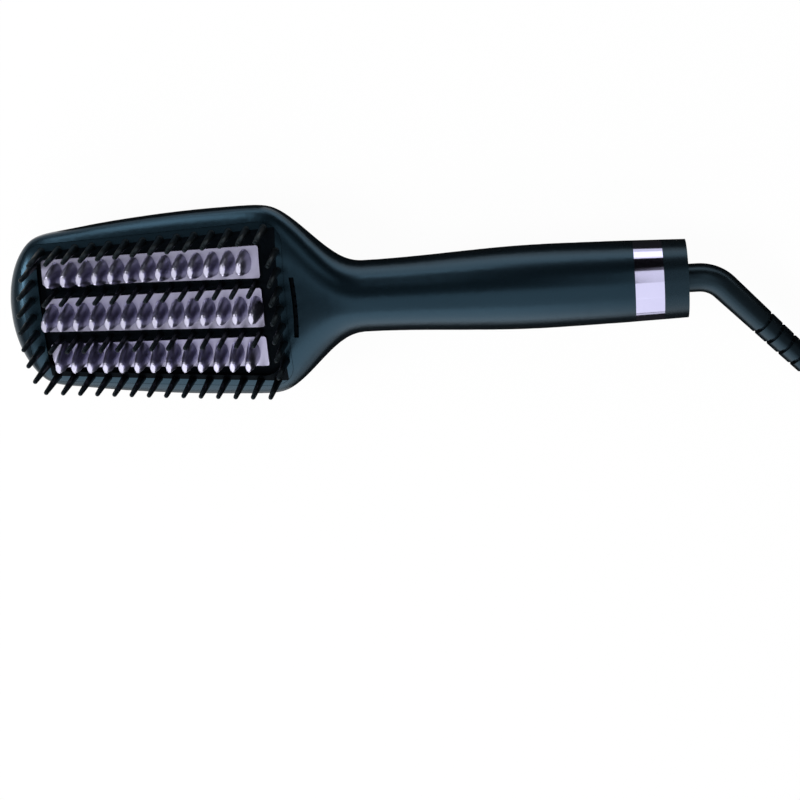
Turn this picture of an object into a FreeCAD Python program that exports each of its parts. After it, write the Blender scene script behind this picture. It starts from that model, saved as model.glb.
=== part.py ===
"""Heated styling brush: a paddle head with heated teeth and guard bristles on a round handle.

The brush lies on its back. X runs from the nose to the handle end, Y across the head, Z up
towards the bristles. The origin is on the rest surface, under the middle of the brush.
Lengths are millimetres, angles are degrees.
"""
import FreeCAD
import Part
import math
import os

from FreeCAD import Placement, Rotation, Vector

# Housing
HANDLE_LENGTH = 135.0     # neck to end face, along the handle axis
HANDLE_TILT = 3.0         # handle axis, down towards the cord
HEAD_REACH = 135.0        # nose to neck
HEAD_TILT = 1.6           # widest level of the head, up towards the nose
NECK_RADIUS = 14.2
GRIP_RADIUS = 16.6
END_RADIUS = 15.4
SWELL_SHARE = 0.58        # where the grip is thickest, as a share of the handle's length
HEAD_LENGTH = 100.4       # nose to the widest place
HEAD_HALF = 39.0          # half width at the widest place
NOSE_HALF = 28.7          # half width that the sides start from
SIDE_BOW = 0.82
SHOULDER_START = 103.4    # from the nose
SHOULDER_END = 142.4
NOSE_LENGTH = 15.5        # rounded end of the head in plan
NOSE_DEPTH = 10.0         # rounded end of the head from the side
NOSE_FLAT = 0.5
FACE_RISE = 11.16         # front of the head over the neck's axis
BACK_DEEPEST = 71.4       # from the nose
REST_SINK = 0.6           # how much of the back's dome is cut flat to lie on
NOSE_THIN = 0.5           # share of the depth that the nose loses
HEAD_SOFTNESS = 2.2       # 2 gives an ellipse, more gives flatter sides
WALL = 2.0
NOSE_WALL = 5.0           # thicker wall at the tip of the nose
PARTING_DROP = 1.0        # joint of the shells under the widest level

# Fits
SLIDE_GAP = 0.25          # buttons in the shell
SEAT_GAP = 0.15           # panels in the shell
RUN_GAP = 0.05            # swivel journal in its bore
SOCKET_GAP = 0.1          # bristle roots in the frame
MOVE_GAP = 0.3            # clear room round what turns

# Bristle field, lengths from the nose
FRAME_FROM = 7.6
FRAME_TO = 113.1
FRAME_DEEP = 7.4          # flat underside of the frame under the housing's face
FRAME_BORDER = 2.6        # frame edge outside the bristle row
FRAME_INNER = 2.3         # recess edge inside the bristle row
FRAME_CORNER = 9.0
RECESS = 2.6              # depth of the bars under the housing's face
PLATE_FROM = 15.6
PLATE_TO = 103.7
PLATE_DROP = 1.4          # top of a plate under the housing's face
PLATE_DEEP = 6.4          # flat underside of a plate under the housing's face
MIDDLE_PLATE = (0.268, 0.263)                      # half width at both ends, as a share of the side row
OUTER_PLATE = ((0.467, 0.865), (0.380, 0.801))     # inner and outer edge at both ends, likewise
OUTER_TEETH = (0.628, 0.604)                       # row of teeth at both ends, likewise
FIRST_TOOTH = 18.4
TOOTH_PITCH = 6.36
TOOTH_COUNT = 14          # middle row, the outer rows have one less
TOOTH_HEIGHT = 14.2
TOOTH_SUNK = 2.0
TOOTH_BASE = (2.7, 5.0)   # half length along X, half width along Y
TOOTH_TIP = (1.4, 2.6)
TOOTH_LEAN = 5.0          # outer rows lean outwards
BRISTLE_PITCH = 6.9
BRISTLE_ROOT = 1.5        # radius at the root
BRISTLE_TIP = 0.95
BRISTLE_LENGTH = 20.0
SOCKET_DEPTH = 2.0
SIDE_FROM = 16.6
SIDE_COUNT = 14
SIDE_INSET = (5.3, 6.95)  # first and last side bristle from the edge of the head
NOSE_ROW = 10.6
NOSE_COUNT = 7
NOSE_ROW_BOW = 2.6        # how far the end bristles stand behind the middle one
NOSE_ROW_SHARE = 0.81     # end bristle of the row, as a share of the side row
NECK_ROW = 110.7
NECK_COUNT = 7
NECK_ROW_SHARE = 0.714
BAR_FROM = 20.4
BAR_COUNT = 13
BAR_PITCH = 6.76
BAR_ROOT = 1.1
BAR_LENGTH = 19.0

# Heating unit
HEATER_THICK = 2.4
HEATER_INSET = 5.0        # heater from the plate's ends
HEATER_SIDE = (1.0, 2.0)  # heater from the edges of an outer and of the middle plate
PAD_THICK = 3.2
PAD_INSET = 9.0
TRAY_FLOOR = 2.0
TRAY_WALL = 2.0
TRAY_MARGIN = 3.0         # tray outside the outer plates
TRAY_ENDS = (1.0, 2.5)    # tray outside the plates' ends
TRAY_CORNER = 5.0
POST_RADIUS = 3.2
POST_FROM = (31.0, 89.0)  # from the nose
SCREW_RADIUS = 1.1
SCREW_HEAD = 2.3
SCREW_HEAD_TALL = 1.5
SCREW_LENGTH = 9.0
SCREW_SEAT = 3.0          # boss left under a shell screw's head
BOSS_CLEAR = 1.0          # boss from the frame's window
BOSS_SHARE = 0.63         # boss from the middle line, as a share of the half width
BOSS_ON_HANDLE = 0.711    # share of the handle's length
FUSE_FROM = 53.0          # from the nose
FUSE_LENGTH = 11.0
FUSE_RADIUS = 1.6
FUSE_WIRE = (8.0, 0.5)
SENSOR_FROM = 57.0        # from the nose
SENSOR_SIZE = (5.0, 1.3, 1.6)

# Ion outlet
SLIT_FROM = 116.8         # from the nose
SLIT_LENGTH = 25.0
SLIT_WIDTH = 1.9
SLIT_BOW = 120.0          # radius of the curved slit
DUCT_FLANGE = 0.8         # lining behind the slit, on each side
DUCT_THICK = 2.0
DUCT_SUNK = 1.8           # lining under the face
ION_BOX = (22.0, 14.0, 9.0)
ION_CLEAR = 1.5           # ion generator behind the frame

# Handle electronics, places as shares of the handle's length
BOARD_SPAN = (0.104, 0.607)
BOARD_WIDTH = 20.0
BOARD_THICK = 1.6
BOARD_LEVEL = -3.0        # middle of the board under the axis
BOARD_SCREW_INSET = (3.0, 4.0)
BOARD_SCREW_LENGTH = 6.0
BUTTON_SHARES = {"minus_button": 0.1926, "power_button": 0.2963, "plus_button": 0.4}
BUTTON_RADIUS = {"minus_button": 4.2, "power_button": 5.2, "plus_button": 4.2}
BUTTON_PROUD = 0.6
BUTTON_FLANGE = 0.8
BUTTON_FLANGE_THICK = 1.2
BUTTON_ROUND = 0.5
SWITCH_SIDE = 6.0
SWITCH_TALL = 3.5
SWITCH_WELL = 1.7         # room for the plunger in its switch
PLUNGER_RADIUS = 0.9
PLUNGER_INTO = 0.2        # plunger in its switch at rest
LENS_SHARE = 0.5185
LENS_LENGTH = 12.0
LENS_WIDTH = 3.0
CAPACITOR_RADIUS = 4.0
CAPACITOR_TALL = 9.0
RELAY_TALL = 9.0
POWER_TALL = 10.0
CHIP_TALL = 1.6
TERMINAL_TALL = 6.0

# Handle end and cord swivel
CAP_LENGTH = 9.5          # outer part of the end cap
RING_LENGTH = 11.2
RING_WALL = 2.0
CAP_WALL = 2.4
CAP_DEEP = 11.0           # inner face of the end cap from the handle's end
SPIGOT_LENGTH = 15.0
HUB_RADIUS = 5.6
HUB_SHORT = 0.5           # journal's end inside the handle's end
FLANGE_RADIUS = 8.5
FLANGE_THICK = 2.7
SLIP_RING_THICK = 0.5
SLIP_RING_HALF = 0.6
RETAINER_THICK = 4.6
BRUSH_RADIUS = 0.8
BRUSH_PROUD = 2.0
NECK_OUT = 4.5            # straight part of the strain relief
RELIEF_TURN = 46.5        # its bend across the handle axis
RELIEF_BEND = 14.0
RELIEF_TAIL = 46.0
RELIEF_END_RADIUS = 4.8
RIB_PITCH = 6.5
RIB_COUNT = 4
RIB_START = 20.8          # first groove after the bend
GROOVE_WIDTH = 1.6
GROOVE_DEPTH = 1.6

# Cord
CORD_RADIUS = 3.0
CORD_BEND = 20.0          # largest radius of a bend between two runs
LEAD_OUT = 14.0           # straight on from the strain relief
LEAD_DROP = 24.0          # run down to the floor
LEAD_FLAT = 22.0          # run along the floor to the coil
LEAD_HEADING = -20.0      # direction of the runs on the floor
COIL_TURN = 6.6           # cord to cord, across and up
COIL_INNER = 24.0
COIL_HALF_TURNS = 7       # in each of the two layers
COIL_LIFT = 1.4           # room for the tie under the coil
TAIL_RUNS = (12.0, 20.0, 18.0, 14.0)
TAIL_RISES = (0.0, 0.65, 1.0, 1.0)       # height after each run, as a share of the climb
TAIL_TURN = 30.0          # turn inwards after each run
TIE_THICK = 0.6
TIE_WIDTH = 9.0
TIE_GAP = 0.7
PLUG_LIFT = 0.4           # plug over the coil
PLUG_LENGTH = 34.0
PLUG_WIDTH = 35.0
PLUG_THICK = 13.8
PLUG_NECK = 1.2           # plug's sleeve over the cord's radius
PIN_RADIUS = 2.0
PIN_LENGTH = 19.0
PIN_SPACING = 18.6

# Values that follow from the sizes above
TILT = math.radians(HANDLE_TILT)
NECK_Z = HANDLE_LENGTH * math.sin(TILT) + END_RADIUS * math.cos(TILT)
FACE_HEIGHT = NECK_Z + FACE_RISE
BACK_DEPTH = NECK_Z + (HEAD_REACH - BACK_DEEPEST) * math.tan(math.radians(HEAD_TILT)) + REST_SINK
SPAN = HEAD_REACH + HANDLE_LENGTH
NECK_JOIN = SHOULDER_END - HEAD_REACH
SWELL_END = SWELL_SHARE * HANDLE_LENGTH
HANDLE_FRAME = Placement(Vector(0, 0, NECK_Z), Rotation(Vector(0, 1, 0), HANDLE_TILT))
FRAME_BASE = FACE_HEIGHT - FRAME_DEEP
FRAME_START = FRAME_FROM - HEAD_REACH
FRAME_END = FRAME_TO - HEAD_REACH
PLATE_BASE = FACE_HEIGHT - PLATE_DEEP
PLATE_START = PLATE_FROM - HEAD_REACH
PLATE_END = PLATE_TO - HEAD_REACH
FIRST_TOOTH_X = FIRST_TOOTH - HEAD_REACH
SIDE_START = SIDE_FROM - HEAD_REACH
SIDE_END = SIDE_START + (SIDE_COUNT - 1) * BRISTLE_PITCH
NOSE_ROW_X = NOSE_ROW - HEAD_REACH
NECK_ROW_X = NECK_ROW - HEAD_REACH
BAR_START = BAR_FROM - HEAD_REACH
POST_X = [distance - HEAD_REACH for distance in POST_FROM]
SLIT_X = SLIT_FROM - HEAD_REACH
BOSS_X = FRAME_END + SEAT_GAP + POST_RADIUS + BOSS_CLEAR
HEATER_BASE = PLATE_BASE - HEATER_THICK
TRAY_TOP = HEATER_BASE - PAD_THICK
TRAY_BASE = TRAY_TOP - TRAY_FLOOR
BOARD_START = BOARD_SPAN[0] * HANDLE_LENGTH
BOARD_END = BOARD_SPAN[1] * HANDLE_LENGTH
BOARD_UNDER = BOARD_LEVEL - BOARD_THICK / 2
BOARD_OVER = BOARD_LEVEL + BOARD_THICK / 2
BUTTON_PLACES = {name: share * HANDLE_LENGTH for name, share in BUTTON_SHARES.items()}
LENS_PLACE = LENS_SHARE * HANDLE_LENGTH
RING_END = HANDLE_LENGTH - CAP_LENGTH
RING_START = RING_END - RING_LENGTH
CAP_FACE = HANDLE_LENGTH - CAP_DEEP
HUB_END = HANDLE_LENGTH - HUB_SHORT


# Small helpers

def mix(a, b, t):
    """Value between a and b."""
    return a + (b - a) * t


def ease(value, start, end):
    """Smooth step from 0 at start to 1 at end."""
    t = min(max((value - start) / (end - start), 0.0), 1.0)
    return (1 - math.cos(math.pi * t)) / 2


def rounded(distance, length):
    """Share of the full size at a distance from a rounded end."""
    t = min(max(distance / length, 0.0), 1.0)
    return math.sqrt(1 - (1 - t) ** 2)


def box(x0, x1, y0, y1, z0, z1):
    """Box between two corners."""
    return Part.makeBox(x1 - x0, y1 - y0, z1 - z0, Vector(x0, y0, z0))


def rod(start, end, radius):
    """Round bar between two points."""
    axis = end - start
    return Part.makeCylinder(radius, axis.Length, start, axis)


def tube(start, end, outer, inner):
    """Round tube between two points."""
    return rod(start, end, outer).cut(rod(start, end, inner))


def outline(corners, radius):
    """Closed flat wire through corner points, each corner rounded."""
    points = [Vector(x, y, 0) for x, y in corners]
    edges = []
    ends = []
    for i, corner in enumerate(points):
        to_last = (points[i - 1] - corner).normalize()
        to_next = (points[(i + 1) % len(points)] - corner).normalize()
        half = to_last.getAngle(to_next) / 2
        reach = radius / math.tan(half)
        middle = (to_last + to_next).normalize() * (radius / math.sin(half) - radius)
        ends.append((corner + to_last * reach, corner + middle, corner + to_next * reach))
    for i, (first, middle, last) in enumerate(ends):
        edges.append(Part.Arc(first, middle, last).toShape())
        edges.append(Part.LineSegment(last, ends[(i + 1) % len(ends)][0]).toShape())
    return Part.Wire(edges)


def prism(corners, radius, z0, z1):
    """Upright prism on a rounded outline."""
    wire = outline(corners, radius)
    wire.translate(Vector(0, 0, z0))
    return Part.Face(wire).extrude(Vector(0, 0, z1 - z0))


def on_handle(shape):
    """Copy of a shape that was drawn along +X, set on the handle axis."""
    placed = shape.copy()
    placed.Placement = HANDLE_FRAME.multiply(placed.Placement)
    return placed


def handle_point(s, y, z):
    """Point given along, across and over the handle axis."""
    return HANDLE_FRAME.multVec(Vector(s, y, z))


def group(solids):
    """Separate solids as one piece of the list."""
    return Part.makeCompound(list(solids))


# Housing form

def mid_height(x):
    """Height of the widest level."""
    slope = HANDLE_TILT if x > 0 else HEAD_TILT
    return NECK_Z - x * math.tan(math.radians(slope))


def parting_height(x):
    """Height of the joint between the shells."""
    return mid_height(x) - PARTING_DROP


def handle_radius(s):
    """Radius of the handle along its axis."""
    swell = (GRIP_RADIUS - NECK_RADIUS) * ease(s, NECK_JOIN, SWELL_END)
    past = max(0.0, (s - SWELL_END) / (HANDLE_LENGTH - SWELL_END))
    return NECK_RADIUS + swell - (GRIP_RADIUS - END_RADIUS) * past ** 1.5


def into_handle(x):
    """0 on the head, 1 on the handle, smooth over the shoulders."""
    return ease(x + HEAD_REACH, SHOULDER_START, SHOULDER_END)


def half_width(x):
    """Half width of the housing."""
    d = x + HEAD_REACH
    u = min(d / HEAD_LENGTH, 1.0)
    side = NOSE_HALF + (HEAD_HALF - NOSE_HALF) * u * (1 + SIDE_BOW * (1 - u))
    return mix(side * rounded(d, NOSE_LENGTH), handle_radius(x), into_handle(x))


def rise(x):
    """Front of the housing over the widest level."""
    face = (FACE_HEIGHT - mid_height(x)) * rounded(x + HEAD_REACH, NOSE_DEPTH)
    return mix(face, handle_radius(x), into_handle(x))


def depth(x):
    """Back of the housing under the widest level."""
    d = x + HEAD_REACH
    if d < BACK_DEEPEST:
        thin = 1 - NOSE_THIN * ((BACK_DEEPEST - d) / BACK_DEEPEST) ** 2
        return BACK_DEPTH * thin * rounded(d, NOSE_DEPTH)
    return mix(BACK_DEPTH, handle_radius(x), ease(d, BACK_DEEPEST, SHOULDER_END))


def softness(x):
    """Power of the cross section's curve."""
    return mix(HEAD_SOFTNESS, 2.0, into_handle(x))


def surface_height(x, y):
    """Height of the head's front over a place on it."""
    n = softness(x)
    share = (1 - (abs(y) / half_width(x)) ** n) ** (1 / n)
    return mid_height(x) + rise(x) * share


def quarter(half, height, power, steps=6):
    """Points of one quarter of a section, from the side to the top."""
    points = []
    for i in range(steps + 1):
        a = math.pi / 2 * i / steps
        y = half * max(math.cos(a), 0.0) ** (2 / power)
        points.append((y, height * math.sin(a) ** (2 / power)))
    points[-1] = (0.0, height)
    return points


def section(x, half, top, bottom):
    """Closed cross section of the housing: one curve over the front, one under the back."""
    tilt = TILT * into_handle(x)
    up = Vector(math.sin(tilt), 0, math.cos(tilt))
    middle = Vector(x, 0, mid_height(x))
    if x > 0:
        middle = handle_point(x, 0, 0)
    edges = []
    for way, height in ((1, top), (-1, bottom)):
        corner = quarter(half, height, softness(x))
        flat = corner + [(-y, z) for y, z in reversed(corner[:-1])]
        points = [middle + Vector(0, way * y, 0) + up * (way * z) for y, z in flat]
        count = len(points) - 1
        even = [i / count for i in range(count + 1)]
        start = points[1] * 18 - points[0] * 11 - points[2] * 9 + points[3] * 2
        steep = up * (way * start.Length / 6 * count)
        curve = Part.BSplineCurve()
        curve.interpolate(
            Points=points, Parameters=even, InitialTangent=steep, FinalTangent=steep * -1, Scale=False
        )
        edges.append(curve.toShape())
    return Part.Wire(edges)


def head_stations(first):
    """Places of the head's sections, closer where its form turns."""
    length = NECK_JOIN - first
    shares = (0, 0.006, 0.016, 0.031, 0.05, 0.075, 0.11, 0.165, 0.25, 0.35, 0.46, 0.56)
    shares += (0.645, 0.71, 0.76, 0.81, 0.86, 0.91, 0.96, 1)
    return [first + length * share for share in shares]


def handle_stations(last):
    """Places of the handle's sections."""
    return [mix(NECK_JOIN, last, i / 8) for i in range(9)]


def loft(places, shrink):
    """Solid through sections of the housing, drawn in by a wall."""
    wires = []
    for x in places:
        wires.append(section(x, half_width(x) - shrink, rise(x) - shrink, depth(x) - shrink))
    return Part.makeLoft(wires, True, False)


def housing_solid():
    """Outer form of the head and handle, up to the trim ring."""
    head = loft(head_stations(NOSE_FLAT - HEAD_REACH), 0)
    head = head.cut(box(-SPAN, SPAN, -SPAN, SPAN, -SPAN, 0))
    return head.fuse(loft(handle_stations(RING_START), 0))


def cavity_solid():
    """Inner form of the head and handle, open at the trim ring."""
    head = loft(head_stations(NOSE_WALL - HEAD_REACH), WALL)
    return head.fuse(loft(handle_stations(RING_START + WALL), WALL))


def front_half():
    """Everything in front of the shells' joint."""
    ends = (-SPAN, 0.0, SPAN)
    corners = [Vector(x, -SPAN, parting_height(x)) for x in ends]
    corners += [Vector(x, -SPAN, SPAN) for x in (ends[2], ends[0])]
    face = Part.Face(Part.makePolygon(corners + corners[:1]))
    return face.extrude(Vector(0, 2 * SPAN, 0))


# Bristle field outlines

def side_row_y(x):
    """Distance of the side bristles from the middle line."""
    near = half_width(SIDE_START) - SIDE_INSET[0]
    far = half_width(SIDE_END) - SIDE_INSET[1]
    return mix(near, far, (x - SIDE_START) / (SIDE_END - SIDE_START))


def along_plates(x):
    """0 at the nose end of the plates, 1 at their neck end."""
    return (x - PLATE_START) / (PLATE_END - PLATE_START)


def plate_edges():
    """Half width of the middle plate, inner and outer edge of the outer ones, at both ends."""
    edges = []
    for x, middle, outer in zip((PLATE_START, PLATE_END), MIDDLE_PLATE, OUTER_PLATE):
        row = side_row_y(x)
        edges.append((middle * row, outer[0] * row, outer[1] * row))
    return edges


def bar_row_y(x):
    """Middle of the bar between two plates."""
    near, far = plate_edges()
    return mix(near[0] + near[1], far[0] + far[1], along_plates(x)) / 2


def tooth_row_y(x):
    """Distance of the outer teeth from the middle line."""
    return mix(*OUTER_TEETH, along_plates(x)) * side_row_y(x)


def field_corners(start, end, border):
    """Corners of the bristle field, moved out from the side rows by a border."""
    near = side_row_y(start) + border
    far = side_row_y(end) + border
    return [(start, -near), (end, -far), (end, far), (start, near)]


def plate_corners(side, gap):
    """Corners of a heated plate, drawn in by a gap. Side is -1, 0 or 1."""
    near, far = plate_edges()
    inner_near, inner_far = near[1] + gap, far[1] + gap
    outer_near, outer_far = near[2] - gap, far[2] - gap
    if side == 0:
        outer_near, outer_far = near[0] - gap, far[0] - gap
        inner_near, inner_far = -outer_near, -outer_far
    corners = [(PLATE_START + gap, inner_near), (PLATE_END - gap, inner_far)]
    corners += [(PLATE_END - gap, outer_far), (PLATE_START + gap, outer_near)]
    if side < 0:
        corners = [(x, -y) for x, y in reversed(corners)]
    return corners


def lowered(shape, drop):
    """Copy of a shape, moved down."""
    moved = shape.copy()
    moved.translate(Vector(0, 0, -drop))
    return moved


# Shells

def screw_bosses():
    """Places of the screws that hold the shells together."""
    aside = BOSS_SHARE * half_width(BOSS_X)
    places = [Vector(BOSS_X, -aside, 0), Vector(BOSS_X, aside, 0)]
    return places + [handle_point(BOSS_ON_HANDLE * HANDLE_LENGTH, 0, 0)]


def frame_window():
    """Opening in the front shell for the bristle frame."""
    corners = field_corners(FRAME_START - SEAT_GAP, FRAME_END + SEAT_GAP, FRAME_BORDER + SEAT_GAP)
    return prism(corners, FRAME_CORNER + SEAT_GAP, NECK_Z, 2 * FACE_HEIGHT)


def upright(place, z0, z1, radius):
    """Upright round bar at a place."""
    return rod(Vector(place.x, place.y, z0), Vector(place.x, place.y, z1), radius)


def make_shells(housing, cavity):
    """Front and rear shell with their bosses and openings."""
    hollow = housing.cut(cavity)
    front = hollow.common(front_half())
    rear = hollow.cut(front_half())
    front = front.cut(frame_window()).cut(slit_solid(SLIT_WIDTH, SLIT_LENGTH))
    under_front = lowered(housing, WALL / 2)
    over_back = lowered(housing, -WALL / 2)
    front_bosses = []
    rear_bosses = rear_posts(over_back)
    for place in screw_bosses():
        level = parting_height(place.x)
        upper = upright(place, level, 2 * FACE_HEIGHT, POST_RADIUS)
        lower = upright(place, 0, level, POST_RADIUS)
        pilot = upright(place, level, level + SCREW_LENGTH, SCREW_RADIUS)
        front_bosses.append(upper.common(under_front).cut(pilot))
        rear_bosses.append(lower.common(over_back))
    front = front.fuse(front_bosses).removeSplitter()
    rear = rear.fuse(rear_bosses).removeSplitter()
    for place in screw_bosses():
        rear = rear.cut(screw_room(place))
    for name in BUTTON_PLACES:
        rear = rear.cut(button_bar(name, BUTTON_RADIUS[name] + SLIDE_GAP))
    rear = rear.cut(lens_bar(SEAT_GAP))
    return front, rear


def screw_room(place):
    """Through hole and counterbore of a shell screw."""
    level = parting_height(place.x)
    hole = upright(place, -1, level, SCREW_RADIUS + SEAT_GAP)
    return hole.fuse(upright(place, -1, level - SCREW_SEAT, SCREW_HEAD + SEAT_GAP))


def tray_post_places():
    """Places of the posts under the heater tray, between the heaters."""
    places = []
    for x in POST_X:
        places += [Vector(x, -bar_row_y(x), 0), Vector(x, bar_row_y(x), 0)]
    return places


def rear_posts(over_back):
    """Posts under the heater tray and under the control board, footed in the back wall."""
    posts = []
    for place in tray_post_places():
        post = upright(place, 0, TRAY_BASE, POST_RADIUS).common(over_back)
        posts.append(post.cut(upright(place, TRAY_BASE - SCREW_LENGTH, TRAY_BASE, SCREW_RADIUS)))
    for place in board_screw_places():
        post = upright(place, -2 * GRIP_RADIUS, BOARD_UNDER, POST_RADIUS * 0.75)
        pilot = upright(place, BOARD_UNDER - BOARD_SCREW_LENGTH, BOARD_UNDER, SCREW_RADIUS)
        posts.append(on_handle(post).common(over_back).cut(on_handle(pilot)))
    return posts


def make_housing_screws():
    """Screws from the back into the front shell."""
    screws = []
    for place in screw_bosses():
        seat = Vector(place.x, place.y, parting_height(place.x) - SCREW_SEAT)
        screws.append(screw(seat, Vector(0, 0, 1), SCREW_LENGTH))
    return group(screws)


def screw(seat, axis, length):
    """Pan screw with its head behind the seat and its shank along the axis."""
    head = Part.makeCylinder(SCREW_HEAD, SCREW_HEAD_TALL, seat - axis * SCREW_HEAD_TALL, axis)
    return head.fuse(Part.makeCylinder(SCREW_RADIUS - RUN_GAP, length, seat, axis)).removeSplitter()


# Bristles, plates and frame

def make_frame(housing):
    """Bristle frame: flush border, sunk bars, windows for the plates and sockets for the bristles."""
    field = field_corners(FRAME_START, FRAME_END, FRAME_BORDER)
    block = prism(field, FRAME_CORNER, FRAME_BASE, 2 * FACE_HEIGHT).common(housing)
    start = NOSE_ROW_X + NOSE_ROW_BOW / 2 + FRAME_INNER
    end = NECK_ROW_X - FRAME_INNER
    corner = FRAME_CORNER - FRAME_INNER
    sunk = prism(field_corners(start, end, -FRAME_INNER), corner, FRAME_BASE, 2 * FACE_HEIGHT)
    frame = block.cut(sunk.cut(lowered(housing, RECESS)))
    for side in (-1, 0, 1):
        frame = frame.cut(prism(plate_corners(side, 0), 1.2, 0, 2 * FACE_HEIGHT))
    sockets = [socket(place, BRISTLE_ROOT) for place in guard_places()]
    sockets += [socket(place, BAR_ROOT) for place in bar_places()]
    return frame.cut(sockets)


def socket(place, radius):
    """Round hole in the frame for a bristle's root."""
    return upright(place, place.z - SOCKET_DEPTH, 2 * FACE_HEIGHT, radius + SOCKET_GAP)


def bristle(place, radius, length):
    """Tapered round bristle with a rounded tip, its root in a socket."""
    up = Vector(0, 0, 1)
    root_top = radius / 2
    root = upright(place, place.z - SOCKET_DEPTH, place.z + root_top, radius)
    cones = []
    levels = (root_top, length - 0.86 * BRISTLE_TIP, length - 0.36 * BRISTLE_TIP, length)
    radii = (radius, BRISTLE_TIP, 0.87 * BRISTLE_TIP, 0.5 * BRISTLE_TIP)
    for i in range(3):
        tall = levels[i + 1] - levels[i]
        cones.append(Part.makeCone(radii[i], radii[i + 1], tall, place + up * levels[i], up))
    return root.fuse(cones).removeSplitter()


def guard_places():
    """Roots of the bristles on the border of the frame."""
    flat = []
    for i in range(SIDE_COUNT):
        x = SIDE_START + i * BRISTLE_PITCH
        flat += [(x, side_row_y(x)), (x, -side_row_y(x))]
    for i in range(NOSE_COUNT):
        side = 2 * i / (NOSE_COUNT - 1) - 1
        x = NOSE_ROW_X + NOSE_ROW_BOW * side ** 2
        flat.append((x, side * NOSE_ROW_SHARE * side_row_y(NOSE_ROW_X)))
    for i in range(NECK_COUNT):
        side = 2 * i / (NECK_COUNT - 1) - 1
        flat.append((NECK_ROW_X, side * NECK_ROW_SHARE * side_row_y(NECK_ROW_X)))
    return [Vector(x, y, surface_height(x, y)) for x, y in flat]


def bar_places():
    """Roots of the bristles on the bars between the plates."""
    places = []
    for i in range(BAR_COUNT):
        x = BAR_START + i * BAR_PITCH
        for y in (-bar_row_y(x), bar_row_y(x)):
            places.append(Vector(x, y, surface_height(x, y) - RECESS))
    return places


def make_guard_bristles():
    """Ring of bristles on the border of the frame."""
    return group(bristle(place, BRISTLE_ROOT, BRISTLE_LENGTH) for place in guard_places())


def make_bar_bristles():
    """Two rows of bristles on the bars between the plates."""
    return group(bristle(place, BAR_ROOT, BAR_LENGTH) for place in bar_places())


def ellipse_wire(centre, half_x, half_y):
    """Flat oval with its long axis along Y."""
    oval = Part.Ellipse(Vector(0, half_y, 0), Vector(half_x, 0, 0), Vector(0, 0, 0))
    wire = Part.Wire([oval.toShape()])
    wire.translate(centre)
    return wire


def tooth(x, y, root_z, lean):
    """Oval fin that tapers to a rounded tip."""
    shape = [ellipse_wire(Vector(0, 0, -TOOTH_SUNK), *TOOTH_BASE)]
    for share, size in ((0.0, 0.0), (0.6, 0.5), (0.9, 1.0)):
        half_x = mix(TOOTH_BASE[0], TOOTH_TIP[0], size)
        half_y = mix(TOOTH_BASE[1], TOOTH_TIP[1], size)
        shape.append(ellipse_wire(Vector(0, 0, TOOTH_HEIGHT * share), half_x, half_y))
    for share, size in ((0.97, 0.88), (1.0, 0.66)):
        centre = Vector(0, 0, TOOTH_HEIGHT * share)
        shape.append(ellipse_wire(centre, TOOTH_TIP[0] * size, TOOTH_TIP[1] * size))
    solid = Part.makeLoft(shape, True, True)
    solid.Placement = Placement(Vector(x, y, root_z), Rotation(Vector(1, 0, 0), lean))
    return solid


def make_plate(housing, side):
    """Heated plate with its row of teeth. Side is -1, 0 or 1."""
    plate = prism(plate_corners(side, SEAT_GAP), 1.0, PLATE_BASE, 2 * FACE_HEIGHT)
    plate = plate.common(lowered(housing, PLATE_DROP))
    teeth = []
    for i in range(TOOTH_COUNT - abs(side)):
        x = FIRST_TOOTH_X + TOOTH_PITCH * (i + 0.5 * abs(side))
        y = side * tooth_row_y(x)
        teeth.append(tooth(x, y, surface_height(x, y) - PLATE_DROP, -side * TOOTH_LEAN))
    return plate.fuse(teeth).removeSplitter()


# Heating unit

def heater_sides():
    """Half width of the middle heater, inner and outer edge of the outer ones."""
    near, far = plate_edges()
    middle = min(near[0], far[0]) - HEATER_SIDE[1]
    return middle, max(near[1], far[1]) + HEATER_SIDE[0], min(near[2], far[2]) - HEATER_SIDE[0]


def heater_box(side, z0, z1, inset):
    """Flat block centred under a plate."""
    middle, inner, outer = heater_sides()
    ends = (-middle, middle) if side == 0 else sorted((side * inner, side * outer))
    return box(PLATE_START + inset, PLATE_END - inset, ends[0], ends[1], z0, z1)


def make_heaters():
    """Three ceramic heating bars, one flat under each plate."""
    return group(heater_box(side, HEATER_BASE, PLATE_BASE, HEATER_INSET) for side in (-1, 0, 1))


def make_pads():
    """Insulating pads that press the heaters up."""
    return group(heater_box(side, TRAY_TOP, HEATER_BASE, PAD_INSET) for side in (-1, 0, 1))


def tray_corners(inset):
    """Corners of the heater tray."""
    edges = plate_edges()
    near = edges[0][2] + TRAY_MARGIN - inset
    far = edges[1][2] + TRAY_MARGIN - inset
    start = PLATE_START - TRAY_ENDS[0] + inset
    end = PLATE_END + TRAY_ENDS[1] - inset
    return [(start, -near), (end, -far), (end, far), (start, near)]


def make_tray():
    """Open tray that carries the plates, heaters and pads."""
    tray = prism(tray_corners(0), TRAY_CORNER, TRAY_BASE, FRAME_BASE)
    room = prism(tray_corners(TRAY_WALL), TRAY_CORNER - TRAY_WALL, TRAY_TOP, 2 * FACE_HEIGHT)
    tray = tray.cut(room)
    for place in tray_post_places():
        tray = tray.cut(upright(place, 0, FACE_HEIGHT, SCREW_RADIUS + SEAT_GAP))
    return tray


def make_tray_screws():
    """Screws through the tray floor into the rear shell's posts."""
    seats = [place + Vector(0, 0, TRAY_TOP) for place in tray_post_places()]
    return group(screw(seat, Vector(0, 0, -1), SCREW_LENGTH) for seat in seats)


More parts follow.
